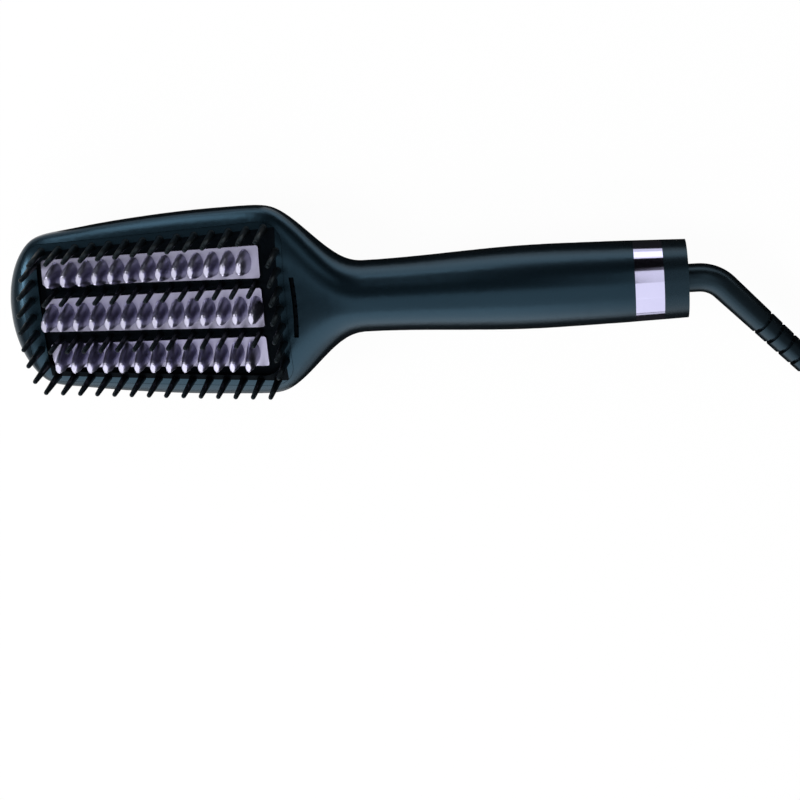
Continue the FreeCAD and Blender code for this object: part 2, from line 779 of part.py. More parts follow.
def make_sensor():
    """Temperature sensor bead on the underside of the middle plate, beside its heater."""
    length, wide, tall = SENSOR_SIZE
    x = SENSOR_FROM - HEAD_REACH
    y = heater_sides()[0] + MOVE_GAP
    return box(x, x + length, y, y + wide, PLATE_BASE - tall, PLATE_BASE)


def make_fuse():
    """Thermal fuse lying on the tray floor between two heaters."""
    middle, inner, outer = heater_sides()
    wire_length, wire_radius = FUSE_WIRE
    spot = Vector(FUSE_FROM - HEAD_REACH, -(middle + inner) / 2, TRAY_TOP + FUSE_RADIUS)
    end = spot + Vector(FUSE_LENGTH, 0, 0)
    reach = Vector(wire_length, 0, 0)
    body = rod(spot, end, FUSE_RADIUS)
    return body.fuse([rod(spot - reach, spot, wire_radius), rod(end, end + reach, wire_radius)])


# Ion outlet

def slit_arc(radius, half):
    """First, middle and last point of one long side of the slit."""
    middle = SLIT_X - SLIT_BOW
    end = middle + math.sqrt(radius ** 2 - half ** 2)
    return Vector(end, -half, NECK_Z), Vector(middle + radius, 0, NECK_Z), Vector(end, half, NECK_Z)


def slit_solid(width, length):
    """Curved upright slit in the front of the neck."""
    near = slit_arc(SLIT_BOW - width / 2, length / 2)
    far = slit_arc(SLIT_BOW + width / 2, length / 2)
    edges = [Part.Arc(*near), Part.LineSegment(near[2], far[2]), Part.Arc(*reversed(far))]
    edges.append(Part.LineSegment(far[0], near[0]))
    face = Part.Face(Part.Wire([edge.toShape() for edge in edges]))
    return face.extrude(Vector(0, 0, 2 * FACE_HEIGHT))


def duct_level():
    """Level of the lining's flange, clear under the curved shell."""
    return surface_height(SLIT_X, SLIT_LENGTH / 2 + DUCT_FLANGE) - 2 * WALL


def make_ion_duct():
    """Lining of the slit, sunk under the face, with a flange behind the shell."""
    level = duct_level()
    base = level - DUCT_THICK
    top = surface_height(SLIT_X, SLIT_LENGTH / 2) - DUCT_SUNK
    room = (SLIT_X - SLIT_LENGTH, SLIT_X + SLIT_LENGTH, -SLIT_LENGTH, SLIT_LENGTH)
    lining = slit_solid(SLIT_WIDTH - 2 * SEAT_GAP, SLIT_LENGTH - 2 * SEAT_GAP)
    lining = lining.common(box(*room, base, top))
    flange = slit_solid(SLIT_WIDTH + 2 * DUCT_FLANGE, SLIT_LENGTH + 2 * DUCT_FLANGE)
    flange = flange.common(box(*room, base, level))
    duct = lining.fuse(flange).removeSplitter()
    for i in range(-2, 3):
        hole = Vector(SLIT_X, i * SLIT_LENGTH / 6, 0)
        duct = duct.cut(upright(hole, 0, 2 * FACE_HEIGHT, 0.3 * SLIT_WIDTH))
    return duct


def make_ion_generator():
    """Potted ion generator behind the slit, against its lining."""
    top = duct_level() - DUCT_THICK
    start = FRAME_END + ION_CLEAR
    length, wide, tall = ION_BOX
    return box(start, start + length, -wide / 2, wide / 2, top - tall, top)


# Handle electronics

def board_screw_places():
    """Places of the control board's screws."""
    ends = (BOARD_START + BOARD_SCREW_INSET[0], BOARD_END - BOARD_SCREW_INSET[1])
    return [Vector(s, 0, 0) for s in ends]


def make_board():
    """Control board along the handle."""
    board = box(BOARD_START, BOARD_END, -BOARD_WIDTH / 2, BOARD_WIDTH / 2, BOARD_UNDER, BOARD_OVER)
    for place in board_screw_places():
        board = board.cut(upright(place, BOARD_UNDER, BOARD_OVER, SCREW_RADIUS + SEAT_GAP))
    return on_handle(board)


def make_board_screws():
    """Screws of the control board."""
    seats = [place + Vector(0, 0, BOARD_OVER) for place in board_screw_places()]
    return on_handle(group(screw(seat, Vector(0, 0, -1), BOARD_SCREW_LENGTH) for seat in seats))


def on_board(start, end, low, high, tall):
    """Block on the board: ends as shares of its length, sides as shares of its width."""
    x0, x1 = mix(BOARD_START, BOARD_END, start), mix(BOARD_START, BOARD_END, end)
    return box(x0, x1, low * BOARD_WIDTH, high * BOARD_WIDTH, BOARD_OVER, BOARD_OVER + tall)


def make_board_parts():
    """Capacitor, power switch with its cooling tab, relay, chip and terminal on the board."""
    can = Vector(mix(BOARD_START, BOARD_END, 0.765), -0.2 * BOARD_WIDTH, 0)
    capacitor = upright(can, BOARD_OVER, BOARD_OVER + CAPACITOR_TALL, CAPACITOR_RADIUS)
    relay = on_board(0.441, 0.647, -0.3, 0.3, RELAY_TALL)
    power = on_board(0.265, 0.324, -0.25, 0.25, POWER_TALL)
    chip = on_board(0.103, 0.206, -0.175, 0.175, CHIP_TALL)
    terminal = on_board(0.853, 0.912, 0.05, 0.45, TERMINAL_TALL)
    return on_handle(group((capacitor, relay, power, chip, terminal)))


def make_switches():
    """One small push switch over each button."""
    switches = []
    half = SWITCH_SIDE / 2
    low = BOARD_UNDER - SWITCH_TALL
    for s in BUTTON_PLACES.values():
        body = box(s - half, s + half, -half, half, low, BOARD_UNDER)
        well = upright(Vector(s, 0, 0), low, low + SWITCH_WELL, PLUNGER_RADIUS + MOVE_GAP)
        switches.append(body.cut(well))
    return on_handle(group(switches))


def button_bar(name, radius):
    """Round bar through the back of the handle at a button."""
    s = BUTTON_PLACES[name]
    proud = handle_radius(s) + BUTTON_PROUD
    return on_handle(rod(Vector(s, 0, -proud), Vector(s, 0, -0.6 * proud), radius))


def make_button(name):
    """Button cap with a flange inside the shell and a plunger into its switch."""
    s = BUTTON_PLACES[name]
    radius = BUTTON_RADIUS[name]
    outside = handle_radius(s) + BUTTON_PROUD
    inside = handle_radius(s) - WALL
    flange_radius = radius + BUTTON_FLANGE
    lip = math.sqrt(inside ** 2 - flange_radius ** 2) - MOVE_GAP
    under = lip - BUTTON_FLANGE_THICK
    cap = rod(Vector(s, 0, -outside), Vector(s, 0, -under), radius)
    edge = cap.Edges[0] if abs(cap.Edges[0].CenterOfMass.z + outside) < 0.01 else cap.Edges[2]
    cap = cap.makeFillet(BUTTON_ROUND, [edge])
    flange = rod(Vector(s, 0, -lip), Vector(s, 0, -under), flange_radius)
    reach = -BOARD_UNDER + SWITCH_TALL - PLUNGER_INTO
    plunger = rod(Vector(s, 0, -under), Vector(s, 0, -reach), PLUNGER_RADIUS)
    return on_handle(cap.fuse([flange, plunger]).removeSplitter())


def lens_bar(gap):
    """Bar through the back of the handle at the indicator lens."""
    half_length = LENS_LENGTH / 2 + gap
    half_width_ = LENS_WIDTH / 2 + gap
    corners = [(LENS_PLACE - half_length, -half_width_), (LENS_PLACE + half_length, -half_width_)]
    corners += [(x, -y) for x, y in reversed(corners)]
    return on_handle(prism(corners, LENS_WIDTH / 2 - 0.1, -2 * GRIP_RADIUS, -GRIP_RADIUS / 2))


def make_lens(housing, cavity):
    """Indicator lens, flush with the back of the handle."""
    return lens_bar(0).common(housing.cut(cavity))


# Handle end and swivel

def cone_tube(s0, s1, inner):
    """Tube along the handle whose outside follows the handle's taper."""
    foot = Vector(s0, 0, 0)
    outer = Part.makeCone(handle_radius(s0), handle_radius(s1), s1 - s0, foot, Vector(1, 0, 0))
    return outer.cut(rod(foot, Vector(s1, 0, 0), inner))


def ring_bore():
    """Inner radius of the trim ring."""
    return handle_radius(RING_END) - RING_WALL


def make_ring():
    """Bright trim ring between the handle and the end cap."""
    return on_handle(cone_tube(RING_START, RING_END, ring_bore()))


def make_end_cap():
    """End cap with a spigot through the ring and a bearing bore for the swivel."""
    outside = ring_bore() - SEAT_GAP
    start = Vector(RING_END - SPIGOT_LENGTH, 0, 0)
    spigot = tube(start, Vector(RING_END, 0, 0), outside, outside - CAP_WALL)
    web = tube(Vector(CAP_FACE, 0, 0), Vector(RING_END, 0, 0), outside, HUB_RADIUS + RUN_GAP)
    cap = cone_tube(RING_END, HANDLE_LENGTH, HUB_RADIUS + RUN_GAP)
    return on_handle(cap.fuse([spigot, web]).removeSplitter())


def flange_start():
    """Inner face of the swivel's flange."""
    return CAP_FACE - MOVE_GAP - FLANGE_THICK


def make_hub():
    """Swivel hub: a flange behind the end cap and a journal through its bore."""
    start = flange_start()
    flange = rod(Vector(start, 0, 0), Vector(start + FLANGE_THICK, 0, 0), FLANGE_RADIUS)
    journal = rod(Vector(start, 0, 0), Vector(HUB_END, 0, 0), HUB_RADIUS)
    return on_handle(flange.fuse(journal).removeSplitter())


def make_slip_rings():
    """Two brass rings on the inner face of the hub."""
    end = flange_start()
    start = end - SLIP_RING_THICK
    rings = []
    for radius in brush_radii():
        sides = (radius + SLIP_RING_HALF, radius - SLIP_RING_HALF)
        rings.append(tube(Vector(start, 0, 0), Vector(end, 0, 0), *sides))
    return on_handle(group(rings))


def brush_radii():
    """Radius of the inner and the outer contact."""
    return (0.4 * FLANGE_RADIUS, 0.8 * FLANGE_RADIUS)


def make_retainer():
    """Disc in the spigot that holds the hub in and carries the contacts."""
    end = flange_start() - SLIP_RING_THICK - MOVE_GAP
    outside = ring_bore() - SEAT_GAP - CAP_WALL - RUN_GAP
    disc = rod(Vector(end - RETAINER_THICK, 0, 0), Vector(end, 0, 0), outside)
    for brush in brush_bars(BRUSH_RADIUS + RUN_GAP):
        disc = disc.cut(brush)
    return on_handle(disc)


def brush_bars(radius):
    """Two bars through the retainer, one to each slip ring."""
    end = flange_start() - SLIP_RING_THICK - MOVE_GAP
    inner, outer = brush_radii()
    bars = []
    for y in (inner, -outer):
        bars.append(rod(Vector(end - RETAINER_THICK - BRUSH_PROUD, y, 0), Vector(end, y, 0), radius))
    return bars


def make_brushes():
    """Brass contact pins of the swivel."""
    return on_handle(group(brush_bars(BRUSH_RADIUS)))


def bend_step(turn):
    """Step along the strain relief's bend after a turn."""
    return Vector(RELIEF_BEND * math.sin(turn), -RELIEF_BEND * (1 - math.cos(turn)), 0)


def relief_frame():
    """Start, bend centre, end of the bend and tail direction of the strain relief."""
    start = Vector(HUB_END, 0, 0)
    turn = math.radians(RELIEF_TURN)
    corner = Vector(HANDLE_LENGTH + NECK_OUT, 0, 0)
    way = Vector(math.cos(turn), -math.sin(turn), 0)
    bent = corner + bend_step(turn)
    middle = corner + bend_step(turn / 2)
    return start, corner, middle, bent, way


def make_relief():
    """Rubber strain relief: straight neck, bend and grooved tail."""
    start, corner, middle, bent, way = relief_frame()
    neck = Part.LineSegment(start, corner).toShape()
    path = Part.Wire([neck, Part.Arc(corner, middle, bent).toShape()])
    profile = Part.Wire([Part.Circle(start, Vector(1, 0, 0), HUB_RADIUS).toShape()])
    bend = path.makePipeShell([profile], True, False)
    tail = relief_tail()
    tail.Placement = Placement(bent, Rotation(Vector(1, 0, 0), way))
    return on_handle(bend.fuse(tail).removeSplitter())


def relief_radius(t):
    """Radius of the relief's tail at a distance from its bend."""
    return mix(HUB_RADIUS, RELIEF_END_RADIUS, t / RELIEF_TAIL)


def relief_tail():
    """Tapered tail with ring grooves, along +X."""
    profile = [(0.0, 0.0), (0.0, relief_radius(0))]
    for i in range(RIB_COUNT):
        t0 = RIB_START + i * RIB_PITCH
        t1 = t0 + GROOVE_WIDTH
        profile += [(t0, relief_radius(t0)), (t0, relief_radius(t0) - GROOVE_DEPTH)]
        profile += [(t1, relief_radius(t1) - GROOVE_DEPTH), (t1, relief_radius(t1))]
    profile += [(RELIEF_TAIL, relief_radius(RELIEF_TAIL)), (RELIEF_TAIL, 0.0), (0.0, 0.0)]
    wire = Part.makePolygon([Vector(x, 0, r) for x, r in profile])
    return Part.Face(wire).revolve(Vector(0, 0, 0), Vector(1, 0, 0), 360)


# Cord

def run_and_arc_wire(points):
    """Path of straight runs joined by tangent arcs, and the radius of each arc."""
    edges = []
    last = points[0]
    radii = []
    for i in range(1, len(points) - 1):
        back = last - points[i]
        on = points[i + 1] - points[i]
        half_turn = (math.pi - back.getAngle(on)) / 2
        reach = min(CORD_BEND * math.tan(half_turn), 0.95 * back.Length, 0.5 * on.Length)
        radius = reach / math.tan(half_turn)
        radii.append(round(radius, 1))
        first = points[i] + back.normalize() * reach
        end = points[i] + on.normalize() * reach
        bisector = (back + on).normalize()
        middle = points[i] + bisector * (radius / math.cos(half_turn) - radius)
        edges.append(Part.LineSegment(last, first).toShape())
        edges.append(Part.Arc(first, middle, end).toShape())
        last = end
    edges.append(Part.LineSegment(last, points[-1]).toShape())
    return Part.Wire(edges), radii


def cord_tube(wire, start, way):
    """Round cord along a path."""
    profile = Part.Wire([Part.Circle(start, way, CORD_RADIUS).toShape()])
    solid = wire.makePipeShell([profile], True, False)
    if solid.Volume < 0:
        solid.reverse()
    return solid


def report_cord(name, solid, wire, radii):
    """Print a cord's length, bends and volume against section times length."""
    ideal = math.pi * CORD_RADIUS ** 2 * wire.Length
    share = round(solid.Volume / ideal, 4)
    print(name, "length", round(wire.Length, 1), "radii", radii, "volume share", share)


def relief_end():
    """End of the strain relief and its direction, in the brush's frame."""
    start, corner, middle, bent, way = relief_frame()
    end = HANDLE_FRAME.multVec(bent + way * RELIEF_TAIL)
    return end, HANDLE_FRAME.Rotation.multVec(way)


def coil_layers():
    """Height of the two layers of the coil."""
    low = CORD_RADIUS + COIL_LIFT
    return low, low + COIL_TURN


def lead_points():
    """Route of the cord from the strain relief down to the coil."""
    end, way = relief_end()
    heading = math.radians(LEAD_HEADING)
    flat = Vector(math.cos(heading), math.sin(heading), 0)
    first = end + way * LEAD_OUT
    before = first + flat * LEAD_DROP
    before.z = coil_layers()[0]
    return [end, first, before, before + flat * LEAD_FLAT]


def coil_start():
    """First point of the coil, its direction and the direction to its middle."""
    points = lead_points()
    flat = (points[3] - points[2]).normalize()
    return points[3], flat, Vector(-flat.y, flat.x, 0)


def make_lead():
    """Cord between the strain relief and the coil."""
    points = lead_points()
    wire, radii = run_and_arc_wire(points)
    solid = cord_tube(wire, points[0], points[1] - points[0])
    report_cord("cord_lead", solid, wire, radii)
    return solid


def half_circle(start, inward, radius, way):
    """Flat half turn: the arc and its end."""
    middle = start + inward * radius + way * radius
    end = start + inward * (2 * radius)
    return Part.Arc(start, middle, end).toShape(), end


def coil_wire():
    """Path of the coil: spiral in, climb in the innermost half turn, spiral out."""
    start, way, inward = coil_start()
    radius = COIL_INNER + COIL_HALF_TURNS * COIL_TURN / 2
    edges = []
    spot = start
    for i in range(COIL_HALF_TURNS):
        arc, spot = half_circle(spot, inward, radius, way)
        edges.append(arc)
        inward, way = inward * -1, way * -1
        radius -= COIL_TURN / 2
    centre = spot + inward * radius
    waist = math.sqrt(radius ** 2 + (COIL_TURN / 2) ** 2)
    half_up = centre + way * waist + Vector(0, 0, COIL_TURN / 2)
    top = spot + inward * (2 * radius) + Vector(0, 0, COIL_TURN)
    edges.append(tangent_arc(spot, way, half_up))
    edges.append(tangent_arc(top, way, half_up, True))
    spot = top
    inward, way = inward * -1, way * -1
    for i in range(COIL_HALF_TURNS):
        radius += COIL_TURN / 2
        arc, spot = half_circle(spot, inward, radius, way)
        edges.append(arc)
        inward, way = inward * -1, way * -1
    return Part.Wire(edges), spot, way, inward


def tangent_arc(start, way, end, backwards=False):
    """Arc from a point along a direction to an end point."""
    chord = end - start
    across = chord - way * chord.dot(way)
    across.normalize()
    radius = chord.Length ** 2 / (2 * chord.dot(across))
    centre = start + across * radius
    middle = centre + ((start - centre) + (end - centre)).normalize() * radius
    if backwards:
        return Part.Arc(end, middle, start).toShape()
    return Part.Arc(start, middle, end).toShape()


def self_gap(wire):
    """Least clear gap between stretches of the coil that are a turn or more apart."""
    count = int(wire.Length / 4)
    points = wire.discretize(count)
    skip = int(math.pi * COIL_INNER / 4)
    least = wire.Length
    for i in range(0, count - skip):
        for j in range(i + skip, count):
            least = min(least, points[i].distanceToPoint(points[j]))
    return least - 2 * CORD_RADIUS


def make_coil():
    """Put-away length of the cord, wound in two layers."""
    wire, end, way, inward = coil_wire()
    start, first_way, first_inward = coil_start()
    solid = cord_tube(wire, start, first_way)
    report_cord("cord_coil", solid, wire, [])
    print("cord_coil least gap", round(self_gap(wire), 2))
    return solid


def tail_points():
    """Route of the cord from the coil's end up and over its turns to the plug."""
    wire, end, way, inward = coil_wire()
    climb = CORD_RADIUS + PLUG_LIFT + PLUG_THICK / 2
    points = [end]
    heading = way
    spot = end
    for i, run in enumerate(TAIL_RUNS):
        turn = math.radians(i * TAIL_TURN)
        heading = way * math.cos(turn) + inward * math.sin(turn)
        spot = spot + heading * run
        points.append(Vector(spot.x, spot.y, end.z + climb * TAIL_RISES[i]))
    return points, heading


def make_tail():
    """Cord between the coil and the plug."""
    points, heading = tail_points()
    wire, radii = run_and_arc_wire(points)
    solid = cord_tube(wire, points[0], points[1] - points[0])
    report_cord("cord_tail", solid, wire, radii)
    return solid


def coil_centre():
    """Middle of the coil on the floor."""
    start, way, inward = coil_start()
    radius = COIL_INNER + COIL_HALF_TURNS * COIL_TURN / 2
    return start + inward * radius, way, inward


def make_tie():
    """Strap round the turns of the coil, half way between the middles of its two layers."""
    centre, way, inward = coil_centre()
    low, high = coil_layers()
    room = CORD_RADIUS + TIE_GAP
    half = TIE_WIDTH / 2
    inner = COIL_INNER + COIL_TURN / 2
    aside = COIL_TURN / 2
    near = math.sqrt(inner ** 2 - (half + aside) ** 2) - room
    far = COIL_INNER + COIL_HALF_TURNS * COIL_TURN / 2 + room
    under = low - room - TIE_THICK
    outer = box(near - TIE_THICK, far + TIE_THICK, -half, half, under, high + room + TIE_THICK)
    strap = outer.cut(box(near, far, -TIE_WIDTH, TIE_WIDTH, low - room, high + room))
    flat = Vector(centre.x, centre.y, 0) + inward * aside
    strap.Placement = Placement(flat, Rotation(Vector(1, 0, 0), way))
    return strap


def plug_frame():
    """Placement of the plug: its cord end at the origin, +X towards its pins."""
    points, way = tail_points()
    return Placement(points[-1], Rotation(Vector(1, 0, 0), way))


def plug_section(share, wide, thick, corner):
    """Rounded cross section of the plug at a share of its length."""
    half_w, half_t = wide / 2, thick / 2
    wire = outline([(-half_w, -half_t), (half_w, -half_t), (half_w, half_t), (-half_w, half_t)], corner)
    turn = Rotation(Vector(0, 1, 0), Vector(0, 0, 1), Vector(1, 0, 0))
    wire.Placement = Placement(Vector(share * PLUG_LENGTH, 0, 0), turn)
    return wire


def make_plug_body():
    """Flat two-pin plug body, tapered to the cord."""
    neck = 2 * (CORD_RADIUS + PLUG_NECK)
    corner = 0.4 * neck
    sections = [(0, neck, neck), (0.35, 1.3 * neck, 1.1 * neck)]
    sections += [(0.8, PLUG_WIDTH, PLUG_THICK), (1.0, PLUG_WIDTH, PLUG_THICK)]
    wires = [plug_section(share, wide, thick, corner) for share, wide, thick in sections]
    body = Part.makeLoft(wires, True, True)
    body.Placement = plug_frame()
    return body


def make_pins():
    """Two round pins of the plug."""
    pins = []
    for y in (-PIN_SPACING / 2, PIN_SPACING / 2):
        foot = Vector(PLUG_LENGTH, y, 0)
        end = foot + Vector(PIN_LENGTH - PIN_RADIUS / 2, 0, 0)
        tip = Part.makeCone(PIN_RADIUS, PIN_RADIUS * 0.6, PIN_RADIUS / 2, end, Vector(1, 0, 0))
        pins.append(rod(foot, end, PIN_RADIUS).fuse(tip))
    pair = group(pins)
    pair.Placement = plug_frame()
    return pair


def build():
    """All pieces by name."""
    housing = housing_solid()
    cavity = cavity_solid()
    front, rear = make_shells(housing, cavity)
    pieces = {
        "front_shell": front,
        "rear_shell": rear,
        "bristle_frame": make_frame(housing),
        "guard_bristles": make_guard_bristles(),
        "bar_bristles": make_bar_bristles(),
        "lower_plate": make_plate(housing, -1),
        "middle_plate": make_plate(housing, 0),
        "upper_plate": make_plate(housing, 1),
        "ceramic_heaters": make_heaters(),
        "heater_pads": make_pads(),
        "heater_tray": make_tray(),
        "tray_screws": make_tray_screws(),
        "temperature_sensor": make_sensor(),
        "thermal_fuse": make_fuse(),
        "ion_duct": make_ion_duct(),
        "ion_generator": make_ion_generator(),
        "control_board": make_board(),
        "board_screws": make_board_screws(),
        "board_parts": make_board_parts(),
        "push_switches": make_switches(),
        "indicator_lens": make_lens(housing, cavity),
        "housing_screws": make_housing_screws(),
        "trim_ring": make_ring(),
        "end_cap": make_end_cap(),
        "swivel_hub": make_hub(),
        "slip_rings": make_slip_rings(),
        "swivel_retainer": make_retainer(),
        "contact_pins": make_brushes(),
        "strain_relief": make_relief(),
        "cord_lead": make_lead(),
        "cord_coil": make_coil(),
        "cord_tail": make_tail(),
        "coil_tie": make_tie(),
        "plug_body": make_plug_body(),
        "plug_pins": make_pins(),
    }
    for name in BUTTON_PLACES:
        pieces[name] = make_button(name)
    return pieces


def main():
    """Write one STEP file for each piece."""
    os.makedirs("parts", exist_ok=True)
    for name, shape in build().items():
        if not shape.isValid():
            print("not valid:", name)
        shape.exportStep("parts/" + name + ".step")


if __name__ == "__main__":
    main()
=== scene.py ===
import logging
import math
from dataclasses import dataclass, field
from enum import Enum

import bmesh
import bpy
from mathutils import Euler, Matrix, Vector


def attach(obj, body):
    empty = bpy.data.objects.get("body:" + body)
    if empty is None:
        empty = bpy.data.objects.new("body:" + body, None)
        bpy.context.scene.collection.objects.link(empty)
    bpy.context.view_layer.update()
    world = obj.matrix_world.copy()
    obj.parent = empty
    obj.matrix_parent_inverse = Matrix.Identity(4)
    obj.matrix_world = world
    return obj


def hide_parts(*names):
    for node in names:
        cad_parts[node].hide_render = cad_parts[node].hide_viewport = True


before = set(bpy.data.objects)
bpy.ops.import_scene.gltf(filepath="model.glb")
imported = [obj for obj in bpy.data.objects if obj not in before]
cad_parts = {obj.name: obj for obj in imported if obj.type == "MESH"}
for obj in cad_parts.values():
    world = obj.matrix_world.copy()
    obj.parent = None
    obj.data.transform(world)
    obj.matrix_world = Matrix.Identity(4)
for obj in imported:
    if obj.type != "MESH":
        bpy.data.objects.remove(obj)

LOG = logging.getLogger("styling_brush")
MM = 0.001
MERGE = 1.0e-6         # points closer than this are one point, in metres
CUT_SNAP = 1.0e-7      # points this near a cut lie on it, in metres
CREASE = 32.0          # edges sharper than this stay sharp, in degrees
SENSOR_WIDTH = 36.0    # width of the camera's sensor, in millimetres
BRUSH_BODY = "brush"
CORD_BODY = "cord_swivel"

COAT_ROUGH = 0.12
DRIFT_DETAIL = 3.0     # finer layers in the slow change of colour
DRIFT_BAND = (0.35, 0.65)
GRAIN_DETAIL = 4.0     # finer layers in the grain
EVEN = (1.0, 1.0, 1.0)
BRUSHED = (0.04, 1.0, 1.0)
BUMP = 0.5
GLOSS_BUMP = 0.25

Colour = tuple[float, float, float]
Point = tuple[float, float, float]


class Grain(Enum):
    """The texture that a finish shows close to."""

    SATIN = "satin"
    GLOSS = "gloss"
    BRUSHED = "brushed"
    RUBBER = "rubber"
    SPECKLE = "speckle"


@dataclass(frozen=True)
class Finish:
    """A surface finish, made into one node material.

    Args:
        name: the material's name.
        slot: the record's material slot that it stands for; not used.
        colour: main colour, linear.
        shade: second colour, which the first drifts into.
        rough: lowest and highest roughness.
        metal: metallic share.
        specular: specular level.
        tint: colour of the reflection on a non-metal.
        coat: strength of a clear coat.
        grain: texture close to.
        grain_size: size of one grain, in metres.
        depth: depth of the grain, in metres.
        drift_size: size of the slow change of colour, in metres.
        clear: transmission share.
        glow: light that the finish gives by itself.
        tip: painted highlight, a lighter colour for the highest places that stands in for the
            light on them, if there is one.
        painted_highlight_height: heights between which it turns to that, in metres.
    """

    name: str
    slot: str
    colour: Colour
    shade: Colour
    rough: tuple[float, float] = (0.35, 0.42)
    metal: float = 0.0
    specular: float = 0.5
    tint: Colour = EVEN
    coat: float = 0.0
    grain: Grain = Grain.SATIN
    grain_size: float = 0.0004
    depth: float = 0.00001
    drift_size: float = 0.02
    clear: float = 0.0
    glow: float = 0.0
    tip: Colour | None = None
    painted_highlight_height: tuple[float, float] = (0.0, 0.0)

    def material(self) -> bpy.types.Material:
        """Gives the finish's material, made on the first call.

        Returns:
            The material.
        """
        known = bpy.data.materials.get(self.name)
        if known is not None:
            return known
        made = bpy.data.materials.new(self.name)
        made.use_nodes = True
        tree = made.node_tree
        shader = tree.nodes["Principled BSDF"]
        self._set_numbers(shader)
        place = tree.nodes.new("ShaderNodeTexCoord")
        self._link_colour(tree, shader, place)
        self._link_grain(tree, shader, place)
        return made

    def _set_numbers(self, shader: bpy.types.Node) -> None:
        """Sets what is the same all over the surface.

        Args:
            shader: the material's shader node.
        """
        shader.inputs["Metallic"].default_value = self.metal
        shader.inputs["Specular IOR Level"].default_value = self.specular
        shader.inputs["Specular Tint"].default_value = (*self.tint, 1.0)
        shader.inputs["Coat Weight"].default_value = self.coat
        shader.inputs["Coat Roughness"].default_value = COAT_ROUGH
        shader.inputs["Transmission Weight"].default_value = self.clear
        if self.glow:
            shader.inputs["Emission Color"].default_value = (*self.colour, 1.0)
            shader.inputs["Emission Strength"].default_value = self.glow

    def _noise(
        self,
        tree: bpy.types.NodeTree,
        place: bpy.types.Node,
        size: float,
        detail: float,
        stretch: Point = EVEN,
    ) -> bpy.types.Node:
        """Adds a noise on the piece's own coordinates.

        Args:
            tree: the material's node tree.
            place: the texture coordinate node.
            size: size of one cell, in metres.
            detail: how many finer layers it has.
            stretch: scale along each axis before the noise.

        Returns:
            The noise node.
        """
        mapping = tree.nodes.new("ShaderNodeMapping")
        mapping.inputs["Scale"].default_value = stretch
        noise = tree.nodes.new("ShaderNodeTexNoise")
        noise.inputs["Scale"].default_value = 1.0 / size
        noise.inputs["Detail"].default_value = detail
        tree.links.new(place.outputs["Object"], mapping.inputs["Vector"])
        tree.links.new(mapping.outputs["Vector"], noise.inputs["Vector"])
        return noise

    def _link_colour(
        self, tree: bpy.types.NodeTree, shader: bpy.types.Node, place: bpy.types.Node
    ) -> None:
        """Lets the colour drift slowly over the surface.

        Args:
            tree: the material's node tree.
            shader: the shader node.
            place: the texture coordinate node.
        """
        size = self.grain_size if self.grain is Grain.SPECKLE else self.drift_size
        noise = self._noise(tree, place, size, DRIFT_DETAIL)
        ramp = tree.nodes.new("ShaderNodeValToRGB")
        low, high = ramp.color_ramp.elements
        low.position, high.position = DRIFT_BAND
        low.color, high.color = (*self.colour, 1.0), (*self.shade, 1.0)
        tree.links.new(noise.outputs["Fac"], ramp.inputs["Fac"])
        if self.tip is None:
            tree.links.new(ramp.outputs["Color"], shader.inputs["Base Color"])
        else:
            self._link_painted_highlight(tree, shader, place, ramp)

    def _link_painted_highlight(
        self,
        tree: bpy.types.NodeTree,
        shader: bpy.types.Node,
        place: bpy.types.Node,
        ramp: bpy.types.Node,
    ) -> None:
        """Paints a highlight: turns the colour to the lighter tip colour at the top of the piece,
        where the light falls.

        Args:
            tree: the material's node tree.
            shader: the shader node.
            place: the texture coordinate node.
            ramp: the node that gives the colour below the tip.
        """
        # Painted highlight: the colour grows lighter with height, standing in for the light on
        # the tops.
        parts = tree.nodes.new("ShaderNodeSeparateXYZ")
        rise = tree.nodes.new("ShaderNodeMapRange")
        rise.interpolation_type = "SMOOTHSTEP"
        rise.inputs["From Min"].default_value = self.painted_highlight_height[0]
        rise.inputs["From Max"].default_value = self.painted_highlight_height[1]
        blend = tree.nodes.new("ShaderNodeMixRGB")
        blend.inputs["Color2"].default_value = (*self.tip, 1.0)
        tree.links.new(place.outputs["Object"], parts.inputs["Vector"])
        tree.links.new(parts.outputs["Z"], rise.inputs["Value"])
        tree.links.new(rise.outputs["Result"], blend.inputs["Fac"])
        tree.links.new(ramp.outputs["Color"], blend.inputs["Color1"])
        tree.links.new(blend.outputs["Color"], shader.inputs["Base Color"])

    def _link_grain(
        self, tree: bpy.types.NodeTree, shader: bpy.types.Node, place: bpy.types.Node
    ) -> None:
        """Breaks up the gloss and raises the grain.

        Args:
            tree: the material's node tree.
            shader: the shader node.
            place: the texture coordinate node.
        """
        stretch = BRUSHED if self.grain is Grain.BRUSHED else EVEN
        noise = self._noise(tree, place, self.grain_size, GRAIN_DETAIL, stretch)
        gloss = tree.nodes.new("ShaderNodeMapRange")
        gloss.inputs["To Min"].default_value = self.rough[0]
        gloss.inputs["To Max"].default_value = self.rough[1]
        tree.links.new(noise.outputs["Fac"], gloss.inputs["Value"])
        tree.links.new(gloss.outputs["Result"], shader.inputs["Roughness"])
        bump = tree.nodes.new("ShaderNodeBump")
        bump.inputs["Strength"].default_value = GLOSS_BUMP if self.grain is Grain.GLOSS else BUMP
        bump.inputs["Distance"].default_value = self.depth
        tree.links.new(noise.outputs["Fac"], bump.inputs["Height"])
        tree.links.new(bump.outputs["Normal"], shader.inputs["Normal"])


